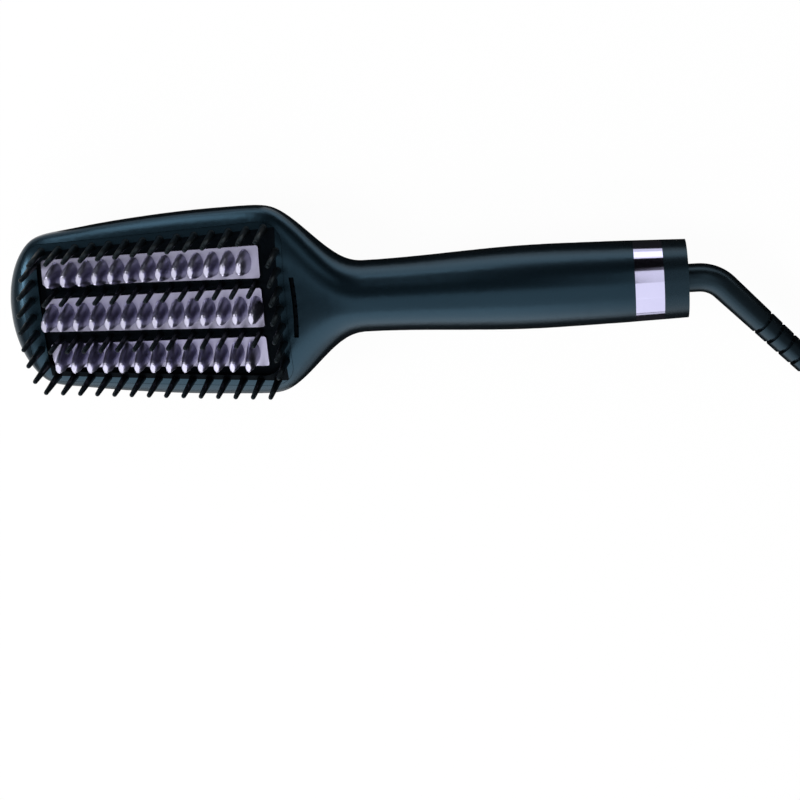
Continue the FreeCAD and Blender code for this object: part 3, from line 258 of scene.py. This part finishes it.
HOUSING = Finish(
    "housing satin lacquer", "housing", (0.0007, 0.0019, 0.0030), (0.0011, 0.0025, 0.0038),
    rough=(0.24, 0.29), specular=0.52, tint=(0.33, 0.69, 1.0), grain_size=0.0003, depth=0.000004,
)
FRAME = Finish(
    "frame black plastic", "frame", (0.0009, 0.0011, 0.0018), (0.0014, 0.0017, 0.0026),
    rough=(0.55, 0.65), specular=0.05, tint=(0.45, 0.76, 1.0), grain_size=0.0003, depth=0.000010,
)
BORDER = Finish(
    "frame border lacquer", "frame", HOUSING.colour, HOUSING.shade,
    rough=HOUSING.rough, specular=HOUSING.specular, tint=HOUSING.tint,
    grain_size=HOUSING.grain_size, depth=HOUSING.depth,
)
BRISTLE = Finish(
    "bristle nylon", "bristles", (0.0016, 0.0020, 0.0024), (0.0026, 0.0031, 0.0036),
    rough=(0.36, 0.46), specular=0.17, tint=(0.55, 0.82, 1.0), grain_size=0.0002, depth=0.000006,
)
PLATE = Finish(
    "plate lilac metal", "plates", (0.38, 0.37, 0.50), (0.42, 0.41, 0.55),
    rough=(0.30, 0.38), metal=1.0, grain=Grain.BRUSHED, grain_size=0.0002, depth=0.000003,
    # tip is a painted highlight: the tooth tops are coloured lighter to stand in for the light
    # they catch.
    tip=(0.69, 0.68, 0.86), painted_highlight_height=(0.0428, 0.0450),
)
RING = Finish(
    "ring lilac chrome", "ring", (0.47, 0.46, 0.65), (0.50, 0.49, 0.68),
    rough=(0.07, 0.10), metal=1.0, grain=Grain.GLOSS, grain_size=0.0008, depth=0.000001,
)
CAP = Finish(
    "end cap satin black", "end_cap", (0.0016, 0.0030, 0.0042), (0.0024, 0.0040, 0.0054),
    rough=(0.24, 0.30), specular=0.42, tint=(0.38, 0.72, 1.0), grain_size=0.0003, depth=0.000004,
)
RUBBER = Finish(
    "strain relief rubber", "rubber", (0.0014, 0.0024, 0.0032), (0.0022, 0.0034, 0.0044),
    rough=(0.27, 0.34), specular=0.42, tint=(0.42, 0.74, 1.0), grain=Grain.RUBBER,
    grain_size=0.0004, depth=0.000010,
)
CORD = Finish(
    "cord rubber", "cord", (0.0055, 0.0062, 0.0068), (0.0075, 0.0085, 0.0092),
    rough=(0.40, 0.50), grain=Grain.RUBBER, grain_size=0.0004, depth=0.000010,
)
PLUG = Finish(
    "plug moulding", "plug", (0.0060, 0.0068, 0.0075), (0.0085, 0.0092, 0.0100),
    rough=(0.38, 0.48), grain=Grain.RUBBER, grain_size=0.0005, depth=0.000012,
)
TIE = Finish(
    "tie woven band", "tie", (0.0080, 0.0080, 0.0085), (0.0140, 0.0140, 0.0150),
    rough=(0.70, 0.85), grain=Grain.RUBBER, grain_size=0.0006, depth=0.000040,
)
PINS = Finish(
    "plug pin nickel", "pins", (0.58, 0.57, 0.54), (0.64, 0.63, 0.60),
    rough=(0.14, 0.22), metal=1.0, grain=Grain.BRUSHED, grain_size=0.0003, depth=0.000002,
)
BUTTON = Finish(
    "button soft plastic", "buttons", (0.0090, 0.0110, 0.0125), (0.0115, 0.0135, 0.0150),
    rough=(0.42, 0.50), grain_size=0.0003, depth=0.000008,
)
LENS = Finish(
    "indicator lens", "lens", (0.30, 0.34, 0.36), (0.36, 0.40, 0.42),
    rough=(0.18, 0.24), coat=0.4, grain_size=0.0004, depth=0.000002,
)
STEEL = Finish(
    "screw steel", "steel", (0.45, 0.45, 0.44), (0.52, 0.52, 0.51),
    rough=(0.25, 0.35), metal=1.0, grain=Grain.BRUSHED, grain_size=0.0003, depth=0.000003,
)
CERAMIC = Finish(
    "heater ceramic", "ceramic", (0.72, 0.71, 0.68), (0.64, 0.62, 0.58),
    rough=(0.45, 0.60), grain=Grain.SPECKLE, grain_size=0.0006, depth=0.000010,
)
PAD = Finish(
    "pad grey silicone", "pads", (0.25, 0.27, 0.29), (0.31, 0.33, 0.35),
    rough=(0.60, 0.75), grain=Grain.RUBBER, grain_size=0.0006, depth=0.000020,
)
TRAY = Finish(
    "tray dark resin", "tray", (0.020, 0.022, 0.024), (0.030, 0.032, 0.034),
    rough=(0.50, 0.62), grain_size=0.0005, depth=0.000012,
)
SENSOR = Finish(
    "sensor bead", "sensor", (0.30, 0.06, 0.03), (0.38, 0.09, 0.05),
    rough=(0.30, 0.42), grain_size=0.0004, depth=0.000006,
)
FUSE = Finish(
    "fuse case", "fuse", (0.48, 0.47, 0.44), (0.55, 0.54, 0.50),
    rough=(0.28, 0.40), metal=1.0, grain=Grain.BRUSHED, grain_size=0.0003, depth=0.000003,
)
MODULE = Finish(
    "ion module resin", "module", (0.012, 0.014, 0.016), (0.018, 0.020, 0.022),
    rough=(0.40, 0.52), grain_size=0.0005, depth=0.000010,
)
BOARD = Finish(
    "board laminate", "board", (0.010, 0.090, 0.035), (0.016, 0.115, 0.048),
    rough=(0.38, 0.50), grain=Grain.SPECKLE, grain_size=0.0008, depth=0.000006,
)
COMPONENT = Finish(
    "component moulding", "components", (0.016, 0.016, 0.017), (0.024, 0.024, 0.025),
    rough=(0.45, 0.58), grain_size=0.0004, depth=0.000008,
)
SWIVEL = Finish(
    "swivel nylon", "swivel", (0.055, 0.058, 0.060), (0.070, 0.073, 0.075),
    rough=(0.40, 0.52), grain_size=0.0004, depth=0.000008,
)
BRASS = Finish(
    "slip ring brass", "brass", (0.62, 0.42, 0.16), (0.68, 0.47, 0.20),
    rough=(0.20, 0.30), metal=1.0, grain=Grain.BRUSHED, grain_size=0.0003, depth=0.000003,
)


@dataclass
class PhotoCamera:
    """The camera at the picture's angle.

    Args:
        position: its place, in metres.
        turn: its turn about X, Y and Z, in degrees.
        lens: focal length, in millimetres.
        clip: nearest and farthest distance that it sees, in metres.
    """

    position: Point = (0.12269, 0.25939, 0.82251)
    turn: Point = (-21.1294, 5.7935, -4.2268)
    lens: float = 96.146
    clip: tuple[float, float] = (0.01, 50.0)

    def build(self) -> bpy.types.Object:
        """Makes the camera and gives it to the scene.

        Returns:
            The camera object.
        """
        data = bpy.data.cameras.new("picture camera")
        data.lens = self.lens
        data.sensor_width = SENSOR_WIDTH
        data.sensor_fit = "HORIZONTAL"
        data.clip_start, data.clip_end = self.clip
        camera = bpy.data.objects.new("picture camera", data)
        camera.location = self.position
        camera.rotation_euler = Euler([math.radians(a) for a in self.turn], "XYZ")
        bpy.context.scene.collection.objects.link(camera)
        bpy.context.scene.camera = camera
        return camera


def link_piece(name: str, mesh: bpy.types.Mesh) -> bpy.types.Object:
    """Puts a mesh into the scene as an object at the origin.

    Args:
        name: the object's name.
        mesh: its mesh, in the frame's own coordinates.

    Returns:
        The object.
    """
    piece = bpy.data.objects.new(name, mesh)
    bpy.context.scene.collection.objects.link(piece)
    return piece


def paint(piece: bpy.types.Object, finish: Finish) -> None:
    """Gives a piece one finish all over.

    Args:
        piece: the piece.
        finish: its finish.
    """
    piece.data.materials.clear()
    piece.data.materials.append(finish.material())


def dress_node(name: str, finish: Finish) -> bpy.types.Object:
    """Keeps a part as it was packed and gives it its finish.

    Args:
        name: the part's name.
        finish: its finish.

    Returns:
        The part's object.
    """
    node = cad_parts[name]
    paint(node, finish)
    LOG.info("%s keeps its own shape, in %s", name, finish.name)
    return node


def smooth_node(name: str, body: str, finish: Finish) -> bpy.types.Object:
    """Replaces a part by a joined copy of its faces with smooth shading.

    Args:
        name: the part's name.
        body: the body it rides on.
        finish: its finish.

    Returns:
        The new piece.
    """
    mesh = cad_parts[name].data.copy()
    mesh.name = name + "_smooth"
    form = bmesh.new()
    form.from_mesh(mesh)
    bmesh.ops.remove_doubles(form, verts=form.verts, dist=MERGE)
    for face in form.faces:
        face.smooth = True
    limit = math.radians(CREASE)
    for edge in form.edges:
        edge.smooth = len(edge.link_faces) == 2 and edge.calc_face_angle(math.pi) < limit
    form.to_mesh(mesh)
    form.free()
    if mesh.attributes.get("custom_normal"):
        mesh.attributes.remove(mesh.attributes["custom_normal"])
    piece = link_piece(name + "_smooth", mesh)
    paint(piece, finish)
    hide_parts(name)
    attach(piece, body)
    LOG.info("%s is smoothed, in %s", name, finish.name)
    return piece


@dataclass
class MainsCord:
    """The cord: its lead, its put-away coil and its tail, as one spline.

    Args:
        lead: the lead's route, in millimetres.
        tail: the tail's route, in millimetres.
        start_way: direction in which the coil starts.
        start_radius: radius of the coil's first half turn.
        radius_step: how much smaller each half turn is.
        inward_turns: half turns in the lower layer.
        climb_radius: radius of the half turn that climbs.
        low: height of the lower layer's middle.
        high: height of the upper layer's middle.
        points: spline points in one half turn.
        diameter: the cord's diameter.
        length: the cord's length in metres.
        round_steps: steps in a quarter of the cord's round section.
        long_steps: steps between two spline points.
    """

    lead: tuple[Point, ...] = (
        (181.071, -37.730, 12.955),
        (190.695, -47.885, 12.450),
        (213.247, -56.094, 4.4),
        (233.921, -63.618, 4.4),
    )
    tail: tuple[Point, ...] = (
        (268.396, 31.103, 11.0),
        (257.120, 35.207, 11.0),
        (237.424, 31.734, 17.695),
        (223.635, 20.164, 21.3),
        (218.847, 7.008, 21.3),
    )
    start_way: tuple[float, float] = (0.939693, -0.342020)
    start_radius: float = 47.1
    radius_step: float = 3.3
    inward_turns: int = 7
    climb_radius: float = 24.0
    low: float = 4.4
    high: float = 11.0
    points: int = 8
    diameter: float = 6.0
    length: float = 1.84
    round_steps: int = 4
    long_steps: int = 6

    def radii(self) -> list[float]:
        """Gives the radius of every half turn of the coil, in order."""
        inward = [self.start_radius - self.radius_step * i for i in range(self.inward_turns)]
        return [*inward, self.climb_radius, *reversed(inward)]

    def coil(self) -> list[Point]:
        """Lays the coil's turns.

        Returns:
            The spline's points in the coil, in millimetres.
        """
        route: list[Point] = []
        spot = Vector((self.lead[-1][0], self.lead[-1][1]))
        way = Vector(self.start_way)
        inward = Vector((-way.y, way.x))
        half_step = math.pi / (2 * self.points)
        for number, radius in enumerate(self.radii()):
            centre = spot + inward * radius
            reach = radius / math.cos(half_step)
            for i in range(self.points):
                turn = (2 * i + 1) * half_step
                place = centre - inward * reach * math.cos(turn) + way * reach * math.sin(turn)
                route.append((place.x, place.y, self.level(number, (i + 0.5) / self.points)))
            spot = centre + inward * radius
            inward, way = -inward, -way
        return route

    def level(self, number: int, share: float) -> float:
        """Gives the cord's height in a half turn.

        Args:
            number: which half turn.
            share: how far along it, from 0 to 1.

        Returns:
            The height of the cord's middle, in millimetres.
        """
        if number < self.inward_turns:
            return self.low
        if number > self.inward_turns:
            return self.high
        return self.low + (self.high - self.low) * share

    def build(self) -> bpy.types.Object:
        """Makes the cord as a round spline.

        Returns:
            The cord object.
        """
        route = [*self.lead, *self.coil(), *self.tail]
        data = bpy.data.curves.new("mains_cord", "CURVE")
        data.dimensions = "3D"
        data.bevel_depth = 0.5 * self.diameter * MM
        data.bevel_resolution = self.round_steps
        data.resolution_u = self.long_steps
        data.use_fill_caps = True
        spline = data.splines.new("NURBS")
        spline.points.add(len(route) - 1)
        for point, (x, y, z) in zip(spline.points, route):
            point.co = (x * MM, y * MM, z * MM, 1.0)
        spline.order_u = 3
        spline.use_endpoint_u = True
        cord = bpy.data.objects.new("mains_cord", data)
        bpy.context.scene.collection.objects.link(cord)
        return cord

    def dress(self, cord: bpy.types.Object, relief: bpy.types.Object) -> None:
        """Args:
            cord: the cord.
            relief: the strain relief at its start; not used.
        """
        paint(cord, CORD)
        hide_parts("cord_lead", "cord_coil", "cord_tail")
        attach(cord, CORD_BODY)
        plug = smooth_node("plug_body", CORD_BODY, PLUG)
        pins = smooth_node("plug_pins", CORD_BODY, PINS)
        tie = smooth_node("coil_tie", CORD_BODY, TIE)
        LOG.info("mains cord, %.2f m with its plug and tie", self.length)


@dataclass(frozen=True)
class Island:
    """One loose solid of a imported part.

    Args:
        low: lowest corner of its box, in metres.
        high: highest corner of its box, in metres.
    """

    low: Vector
    high: Vector

    def foot(self) -> Vector:
        """Gives the middle of the solid's underside."""
        middle = (self.low + self.high) / 2
        return Vector((middle.x, middle.y, self.low.z))

    def tall(self) -> float:
        """Gives the solid's height in metres."""
        return self.high.z - self.low.z


def islands(name: str) -> list[Island]:
    """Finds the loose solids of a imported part.

    Args:
        name: the part's name.

    Returns:
        Its solids, in the order in which their first points come.
    """
    form = bmesh.new()
    form.from_mesh(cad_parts[name].data)
    bmesh.ops.remove_doubles(form, verts=form.verts, dist=MERGE)
    seen: set[bmesh.types.BMVert] = set()
    found: list[Island] = []
    for first in form.verts:
        if first in seen:
            continue
        seen.add(first)
        reached = [first]
        for vert in reached:
            for edge in vert.link_edges:
                other = edge.other_vert(vert)
                if other not in seen:
                    seen.add(other)
                    reached.append(other)
        spots = [vert.co for vert in reached]
        low = Vector([min(spot[i] for spot in spots) for i in range(3)])
        high = Vector([max(spot[i] for spot in spots) for i in range(3)])
        found.append(Island(low, high))
    form.free()
    return found


@dataclass
class BristleField:
    """Round bristles in the frame's sockets, grown by one node tree.

    Args:
        name: the piece's name.
        node: the part that it replaces.
        root_radius: radius at the root, in millimetres.
        tip_radius: radius of the rounded tip.
        foot: straight part of the root, most of it in the socket.
        sides: sides of a bristle.
        tip_rings: rings of faces on the round tip.
    """

    name: str
    node: str
    root_radius: float
    tip_radius: float = 0.95
    foot: float = 2.75
    sides: int = 20
    tip_rings: int = 10

    def tree(self) -> bpy.types.NodeTree:
        """Builds the node tree that grows a bristle on every point.

        Returns:
            The node tree.
        """
        tree = bpy.data.node_groups.new(self.name + "_tree", "GeometryNodeTree")
        face = tree.interface
        face.new_socket("Geometry", in_out="INPUT", socket_type="NodeSocketGeometry")
        for label in ("Foot", "Shaft", "Root Radius", "Tip Radius"):
            face.new_socket(label, in_out="INPUT", socket_type="NodeSocketFloat")
        face.new_socket("Sides", in_out="INPUT", socket_type="NodeSocketInt")
        face.new_socket("Finish", in_out="INPUT", socket_type="NodeSocketMaterial")
        face.new_socket("Geometry", in_out="OUTPUT", socket_type="NodeSocketGeometry")
        new, link = tree.nodes.new, tree.links.new
        given = new("NodeGroupInput")
        result = new("NodeGroupOutput")
        both = new("GeometryNodeJoinGeometry")
        for part in self._parts(tree, given):
            link(part, both.inputs["Geometry"])
        grow = new("GeometryNodeInstanceOnPoints")
        link(given.outputs["Geometry"], grow.inputs["Points"])
        link(both.outputs["Geometry"], grow.inputs["Instance"])
        real = new("GeometryNodeRealizeInstances")
        link(grow.outputs["Instances"], real.inputs["Geometry"])
        smooth = new("GeometryNodeSetShadeSmooth")
        link(real.outputs["Geometry"], smooth.inputs["Geometry"])
        coat = new("GeometryNodeSetMaterial")
        link(smooth.outputs["Geometry"], coat.inputs["Geometry"])
        link(given.outputs["Finish"], coat.inputs["Material"])
        link(coat.outputs["Geometry"], result.inputs["Geometry"])
        return tree

    def _parts(
        self, tree: bpy.types.NodeTree, given: bpy.types.Node
    ) -> list[bpy.types.NodeSocket]:
        """Adds the root, the tapered shaft and the round tip of one bristle.

        Args:
            tree: the node tree.
            given: its input node.

        Returns:
            The three meshes' sockets.
        """
        new, link = tree.nodes.new, tree.links.new
        root = new("GeometryNodeMeshCone")
        shaft = new("GeometryNodeMeshCone")
        tip = new("GeometryNodeMeshUVSphere")
        tip.inputs["Rings"].default_value = self.tip_rings
        link(given.outputs["Sides"], tip.inputs["Segments"])
        link(given.outputs["Tip Radius"], tip.inputs["Radius"])
        for cone, depth, top in ((root, "Foot", "Root Radius"), (shaft, "Shaft", "Tip Radius")):
            link(given.outputs["Sides"], cone.inputs["Vertices"])
            link(given.outputs[top], cone.inputs["Radius Top"])
            link(given.outputs["Root Radius"], cone.inputs["Radius Bottom"])
            link(given.outputs[depth], cone.inputs["Depth"])
        total = new("ShaderNodeMath")
        link(given.outputs["Foot"], total.inputs[0])
        link(given.outputs["Shaft"], total.inputs[1])
        on_foot = self._lifted(tree, shaft.outputs["Mesh"], given.outputs["Foot"])
        on_shaft = self._lifted(tree, tip.outputs["Mesh"], total.outputs[0])
        return [root.outputs["Mesh"], on_foot, on_shaft]

    def _lifted(
        self, tree: bpy.types.NodeTree, mesh: bpy.types.NodeSocket, height: bpy.types.NodeSocket
    ) -> bpy.types.NodeSocket:
        """Adds a move straight up.

        Args:
            tree: the node tree.
            mesh: what is moved.
            height: by how much.

        Returns:
            The moved mesh's socket.
        """
        lift = tree.nodes.new("ShaderNodeCombineXYZ")
        tree.links.new(height, lift.inputs["Z"])
        moved = tree.nodes.new("GeometryNodeTransform")
        tree.links.new(mesh, moved.inputs["Geometry"])
        tree.links.new(lift.outputs["Vector"], moved.inputs["Translation"])
        return moved.outputs["Geometry"]

    def build(self) -> bpy.types.Object:
        """Grows the bristles where the part has them and makes them a plain mesh.

        Returns:
            The bristles as one object.
        """
        places = islands(self.node)
        carrier = bpy.data.meshes.new(self.name + "_roots")
        carrier.from_pydata([tuple(place.foot()) for place in places], [], [])
        holder = link_piece(self.name + "_roots", carrier)
        tree = self.tree()
        grower = holder.modifiers.new("grow", "NODES")
        grower.node_group = tree
        values = {
            "Foot": self.foot * MM,
            "Shaft": places[0].tall() - (self.foot + self.tip_radius) * MM,
            "Root Radius": self.root_radius * MM,
            "Tip Radius": self.tip_radius * MM,
            "Sides": self.sides,
            "Finish": BRISTLE.material(),
        }
        for item in tree.interface.items_tree:
            if item.in_out == "INPUT" and item.name in values:
                grower[item.identifier] = values[item.name]
        grown = holder.evaluated_get(bpy.context.evaluated_depsgraph_get())
        mesh = bpy.data.meshes.new_from_object(grown)
        holder.modifiers.clear()
        bpy.data.objects.remove(holder)
        mesh.name = self.name
        LOG.info("%s has %d bristles", self.name, len(places))
        return link_piece(self.name, mesh)

    def dress(self, bristles: bpy.types.Object) -> None:
        """Sets the bristles in the place of their part.

        Args:
            bristles: the grown bristles.
        """
        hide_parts(self.node)
        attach(bristles, BRUSH_BODY)


@dataclass
class HeatedFace:
    """The face of the head: frame, bristles and three heated plates.

    Args:
        ends: X of the black field's two ends, in millimetres.
        sides: half width of the black field at those ends.
        plates: the heated plates.
        guard_root: radius of a guard bristle's root.
        bar_root: radius of a bar bristle's root.
    """

    ends: tuple[float, float] = (-120.8, -24.3)
    sides: tuple[float, float] = (26.05, 31.98)
    plates: tuple[str, ...] = ("lower_plate", "middle_plate", "upper_plate")
    guard_root: float = 1.5
    bar_root: float = 1.1

    def in_field(self, spot: Vector) -> bool:
        """Tells whether a place on the frame lies in its black field.

        Args:
            spot: the place, in metres.

        Returns:
            True inside the line of the guard bristles, seen from above.
        """
        start, end = self.ends
        x = spot.x / MM
        share = (x - start) / (end - start)
        half = self.sides[0] + (self.sides[1] - self.sides[0]) * share
        return start < x < end and abs(spot.y) / MM < half

    def split_frame(self, rim: bpy.types.Object) -> None:
        """Cuts the frame's faces along the field's four sides.

        Args:
            rim: the frame.
        """
        start, end = self.ends
        lean = (self.sides[1] - self.sides[0]) / (end - start)
        cuts = [((start, 0.0), (1.0, 0.0)), ((end, 0.0), (1.0, 0.0))]
        cuts += [((start, way * self.sides[0]), (-way * lean, 1.0)) for way in (-1, 1)]
        form = bmesh.new()
        form.from_mesh(rim.data)
        for place, across in cuts:
            bmesh.ops.bisect_plane(
                form,
                geom=[*form.verts, *form.edges, *form.faces],
                dist=CUT_SNAP,
                plane_co=(place[0] * MM, place[1] * MM, 0.0),
                plane_no=(*across, 0.0),
            )
        form.to_mesh(rim.data)
        form.free()

    def dress(self) -> None:
        """Gives the frame, the plates and the bristles their finish."""
        rim = smooth_node("bristle_frame", BRUSH_BODY, FRAME)
        self.split_frame(rim)
        rim.data.materials.append(BORDER.material())
        for face in rim.data.polygons:
            face.material_index = 0 if self.in_field(face.center) else 1
        for name in self.plates:
            smooth_node(name, BRUSH_BODY, PLATE)
        for bristles in (
            BristleField("guard_bristle_ring", "guard_bristles", self.guard_root),
            BristleField("bar_bristle_rows", "bar_bristles", self.bar_root),
        ):
            bristles.dress(bristles.build())


@dataclass
class Housing:
    """The two shells with what closes the handle.

    Args:
        finishes: each outer part with its finish.
    """

    finishes: dict[str, Finish] = field(
        default_factory=lambda: {
            "front_shell": HOUSING,
            "rear_shell": HOUSING,
            "trim_ring": RING,
            "end_cap": CAP,
            "ion_duct": FRAME,
            "indicator_lens": LENS,
        }
    )

    def dress(self) -> None:
        """Gives the shells, the ring, the cap and the screws their finish."""
        for name, finish in self.finishes.items():
            smooth_node(name, BRUSH_BODY, finish)
        dress_node("housing_screws", STEEL)


@dataclass
class Controls:
    """The three buttons on the back of the handle.

    Args:
        names: the buttons' bodies, which are also their parts' names.
    """

    names: tuple[str, ...] = ("minus_button", "power_button", "plus_button")

    def dress(self) -> None:
        """Gives the buttons their finish."""
        for name in self.names:
            smooth_node(name, name, BUTTON)


@dataclass
class InnerWorks:
    """What sits inside the housing.

    Args:
        finishes: each inner part with its finish.
    """

    finishes: dict[str, Finish] = field(
        default_factory=lambda: {
            "ceramic_heaters": CERAMIC,
            "heater_pads": PAD,
            "heater_tray": TRAY,
            "tray_screws": STEEL,
            "temperature_sensor": SENSOR,
            "thermal_fuse": FUSE,
            "ion_generator": MODULE,
            "control_board": BOARD,
            "board_screws": STEEL,
            "board_parts": COMPONENT,
            "push_switches": COMPONENT,
            "swivel_hub": SWIVEL,
            "slip_rings": BRASS,
            "swivel_retainer": SWIVEL,
            "contact_pins": BRASS,
        }
    )

    def dress(self) -> None:
        """Gives every inner part its finish."""
        for name, finish in self.finishes.items():
            dress_node(name, finish)


@dataclass(frozen=True)
class SoftBox:
    """A soft lamp that the camera does not see.

    Args:
        name: its name.
        place: its middle, in metres.
        aim: the point that it faces.
        size: its width and height, in metres.
        power: its power in watts.
    """

    name: str
    place: Point
    aim: Point
    size: tuple[float, float]
    power: float

    def hang(self) -> None:
        """Puts the lamp into the scene."""
        data = bpy.data.lights.new(self.name, "AREA")
        data.shape = "RECTANGLE"
        data.size, data.size_y = self.size
        data.energy = self.power
        lamp = bpy.data.objects.new(self.name, data)
        lamp.location = self.place
        way = Vector(self.aim) - Vector(self.place)
        lamp.rotation_euler = way.to_track_quat("-Z", "Y").to_euler()
        lamp.visible_camera = False
        bpy.context.scene.collection.objects.link(lamp)


@dataclass(frozen=True)
class DarkCard:
    """A dark card that only shows in reflections.

    Args:
        name: its name.
        corner: one corner, in metres.
        along: its first side.
        up: its second side.
        tone: its grey.
    """

    name: str
    corner: Point
    along: Point
    up: Point
    tone: float

    def stand(self) -> None:
        """Puts the card into the scene."""
        start, first, second = Vector(self.corner), Vector(self.along), Vector(self.up)
        mesh = bpy.data.meshes.new(self.name)
        corners = [start, start + first, start + first + second, start + second]
        mesh.from_pydata([tuple(corner) for corner in corners], [], [(0, 1, 2, 3)])
        card = link_piece(self.name, mesh)
        mesh.materials.append(self._velvet())
        card.visible_camera = False
        card.visible_diffuse = False
        card.visible_shadow = False
        card.visible_transmission = False
        card.visible_volume_scatter = False

    def _velvet(self) -> bpy.types.Material:
        """Makes the card's matt material.

        Returns:
            The material.
        """
        velvet = bpy.data.materials.new(self.name + " velvet")
        velvet.use_nodes = True
        matt = velvet.node_tree.nodes["Principled BSDF"]
        matt.inputs["Base Color"].default_value = (self.tone, self.tone, self.tone, 1.0)
        matt.inputs["Roughness"].default_value = 1.0
        matt.inputs["Specular IOR Level"].default_value = 0.0
        return velvet


SOFT_BOXES = (
    SoftBox("overhead box", (0.085, -0.30, 1.20), (0.085, -0.30, 0.0), (0.73, 1.04), 2.85),
    SoftBox("side box", (-0.385, -1.02, 0.58), (-0.325, 0.0, 0.02), (1.17, 1.15), 9.5),
    SoftBox("ring side box", (0.46, -1.02, 0.58), (0.52, 0.0, 0.02), (0.52, 1.15), 2.2),
    SoftBox("ring box", (0.50, 0.70, 1.20), (0.50, 0.70, 0.0), (0.41, 0.96), 1.3),
    SoftBox("nose box", (-1.09, 0.03, 1.04), (-0.125, 0.015, 0.03), (0.74, 0.33), 12.0),
    SoftBox("rim box", (-0.38, 1.03, 0.62), (-0.055, 0.036, 0.027), (0.45, 0.5), 3.2),
    SoftBox("low box", (0.21, 0.34, 0.002), (0.21, 0.34, 1.0), (0.48, 0.58), 1.0),
    SoftBox("long strip", (0.10, 0.645, 0.046), (0.10, 0.0, 0.046), (0.80, 0.09), 0.36),
    SoftBox("neck strip", (-0.16, 0.645, 0.14), (-0.16, 0.0, 0.14), (0.34, 0.10), 0.34),
)
DARK_CARDS = (
    DarkCard("far card", (-0.16, 0.66, 0.092), (0.395, 0.0, 0.0), (0.0, 0.0, 1.90), 0.004),
    DarkCard("ring card", (0.235, 0.66, 0.092), (0.805, 0.0, 0.0), (0.0, 0.0, 0.40), 0.004),
    DarkCard("handle card", (-0.02, -0.22, 0.0006), (0.34, 0.0, 0.0), (0.0, 0.305, 0.0), 0.02),
    DarkCard("head card", (-0.12, -0.07, 0.0006), (0.10, 0.0, 0.0), (0.0, 0.15, 0.0), 0.02),
)


@dataclass
class Studio:
    """The floor, the lamps, the dark cards and the even surround.

    Args:
        floor_half: half the floor's side, in metres.
        floor_tone: the floor's grey as light falls on it.
        floor_rough: the floor's roughness.
        floor_white: share of plain white in the floor as it is looked at.
        fill: level of the surround as light on the object.
    """

    floor_half: float = 40.0
    floor_tone: float = 0.90
    floor_rough: float = 0.9
    floor_white: float = 0.96
    fill: float = 0.22

    def build(self) -> None:
        """Sets up everything that is not the object."""
        bpy.context.scene.view_settings.view_transform = "Standard"
        self._surround()
        self._floor()
        for lamp in SOFT_BOXES:
            lamp.hang()
        for card in DARK_CARDS:
            card.stand()
        LOG.info("studio with %d lamps and %d cards", len(SOFT_BOXES), len(DARK_CARDS))

    def _surround(self) -> None:
        """Makes the world a soft even fill."""
        world = bpy.data.worlds.new("studio surround")
        world.use_nodes = True
        bpy.context.scene.world = world
        back = world.node_tree.nodes["Background"]
        back.inputs["Color"].default_value = (1.0, 1.0, 1.0, 1.0)
        back.inputs["Strength"].default_value = self.fill

    def _seen(self, tree: bpy.types.NodeTree) -> bpy.types.Node:
        """Adds what tells looking rays from light rays.

        Args:
            tree: the material's node tree.

        Returns:
            A node whose first output is 1 for camera, gloss and glass rays.
        """
        path = tree.nodes.new("ShaderNodeLightPath")
        either = path.outputs["Is Camera Ray"]
        for ray in ("Is Glossy Ray", "Is Transmission Ray"):
            larger = tree.nodes.new("ShaderNodeMath")
            larger.operation = "MAXIMUM"
            tree.links.new(either, larger.inputs[0])
            tree.links.new(path.outputs[ray], larger.inputs[1])
            either = larger.outputs[0]
        return larger

    def _paper(self) -> bpy.types.Material:
        """Makes the floor's material, white to look at but still shaded.

        Returns:
            The material.
        """
        paper = bpy.data.materials.new("floor paper")
        paper.use_nodes = True
        tree = paper.node_tree
        matt = tree.nodes["Principled BSDF"]
        matt.inputs["Base Color"].default_value = (*[self.floor_tone] * 3, 1.0)
        matt.inputs["Roughness"].default_value = self.floor_rough
        matt.inputs["Specular IOR Level"].default_value = 0.0
        white = tree.nodes.new("ShaderNodeEmission")
        mix = tree.nodes.new("ShaderNodeMixShader")
        seen = self._seen(tree)
        share = tree.nodes.new("ShaderNodeMapRange")
        share.inputs["To Max"].default_value = self.floor_white
        tree.links.new(seen.outputs[0], share.inputs["Value"])
        tree.links.new(share.outputs["Result"], mix.inputs["Fac"])
        tree.links.new(matt.outputs["BSDF"], mix.inputs[1])
        tree.links.new(white.outputs["Emission"], mix.inputs[2])
        tree.links.new(mix.outputs["Shader"], tree.nodes["Material Output"].inputs["Surface"])
        return paper

    def _floor(self) -> None:
        """Lays the pale floor."""
        half = self.floor_half
        mesh = bpy.data.meshes.new("floor")
        corners = [(-half, -half, 0.0), (half, -half, 0.0), (half, half, 0.0), (-half, half, 0.0)]
        mesh.from_pydata(corners, [], [(0, 1, 2, 3)])
        floor = link_piece("floor", mesh)
        mesh.materials.append(self._paper())


def main() -> None:
    """Builds and dresses the brush, then its studio."""
    logging.basicConfig(level=logging.INFO, format="%(message)s")
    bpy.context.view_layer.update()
    PhotoCamera().build()
    cord = MainsCord()
    relief = smooth_node("strain_relief", CORD_BODY, RUBBER)
    cord.dress(cord.build(), relief)
    Housing().dress()
    HeatedFace().dress()
    Controls().dress()
    InnerWorks().dress()
    Studio().build()


if __name__ == "__main__":
    main()
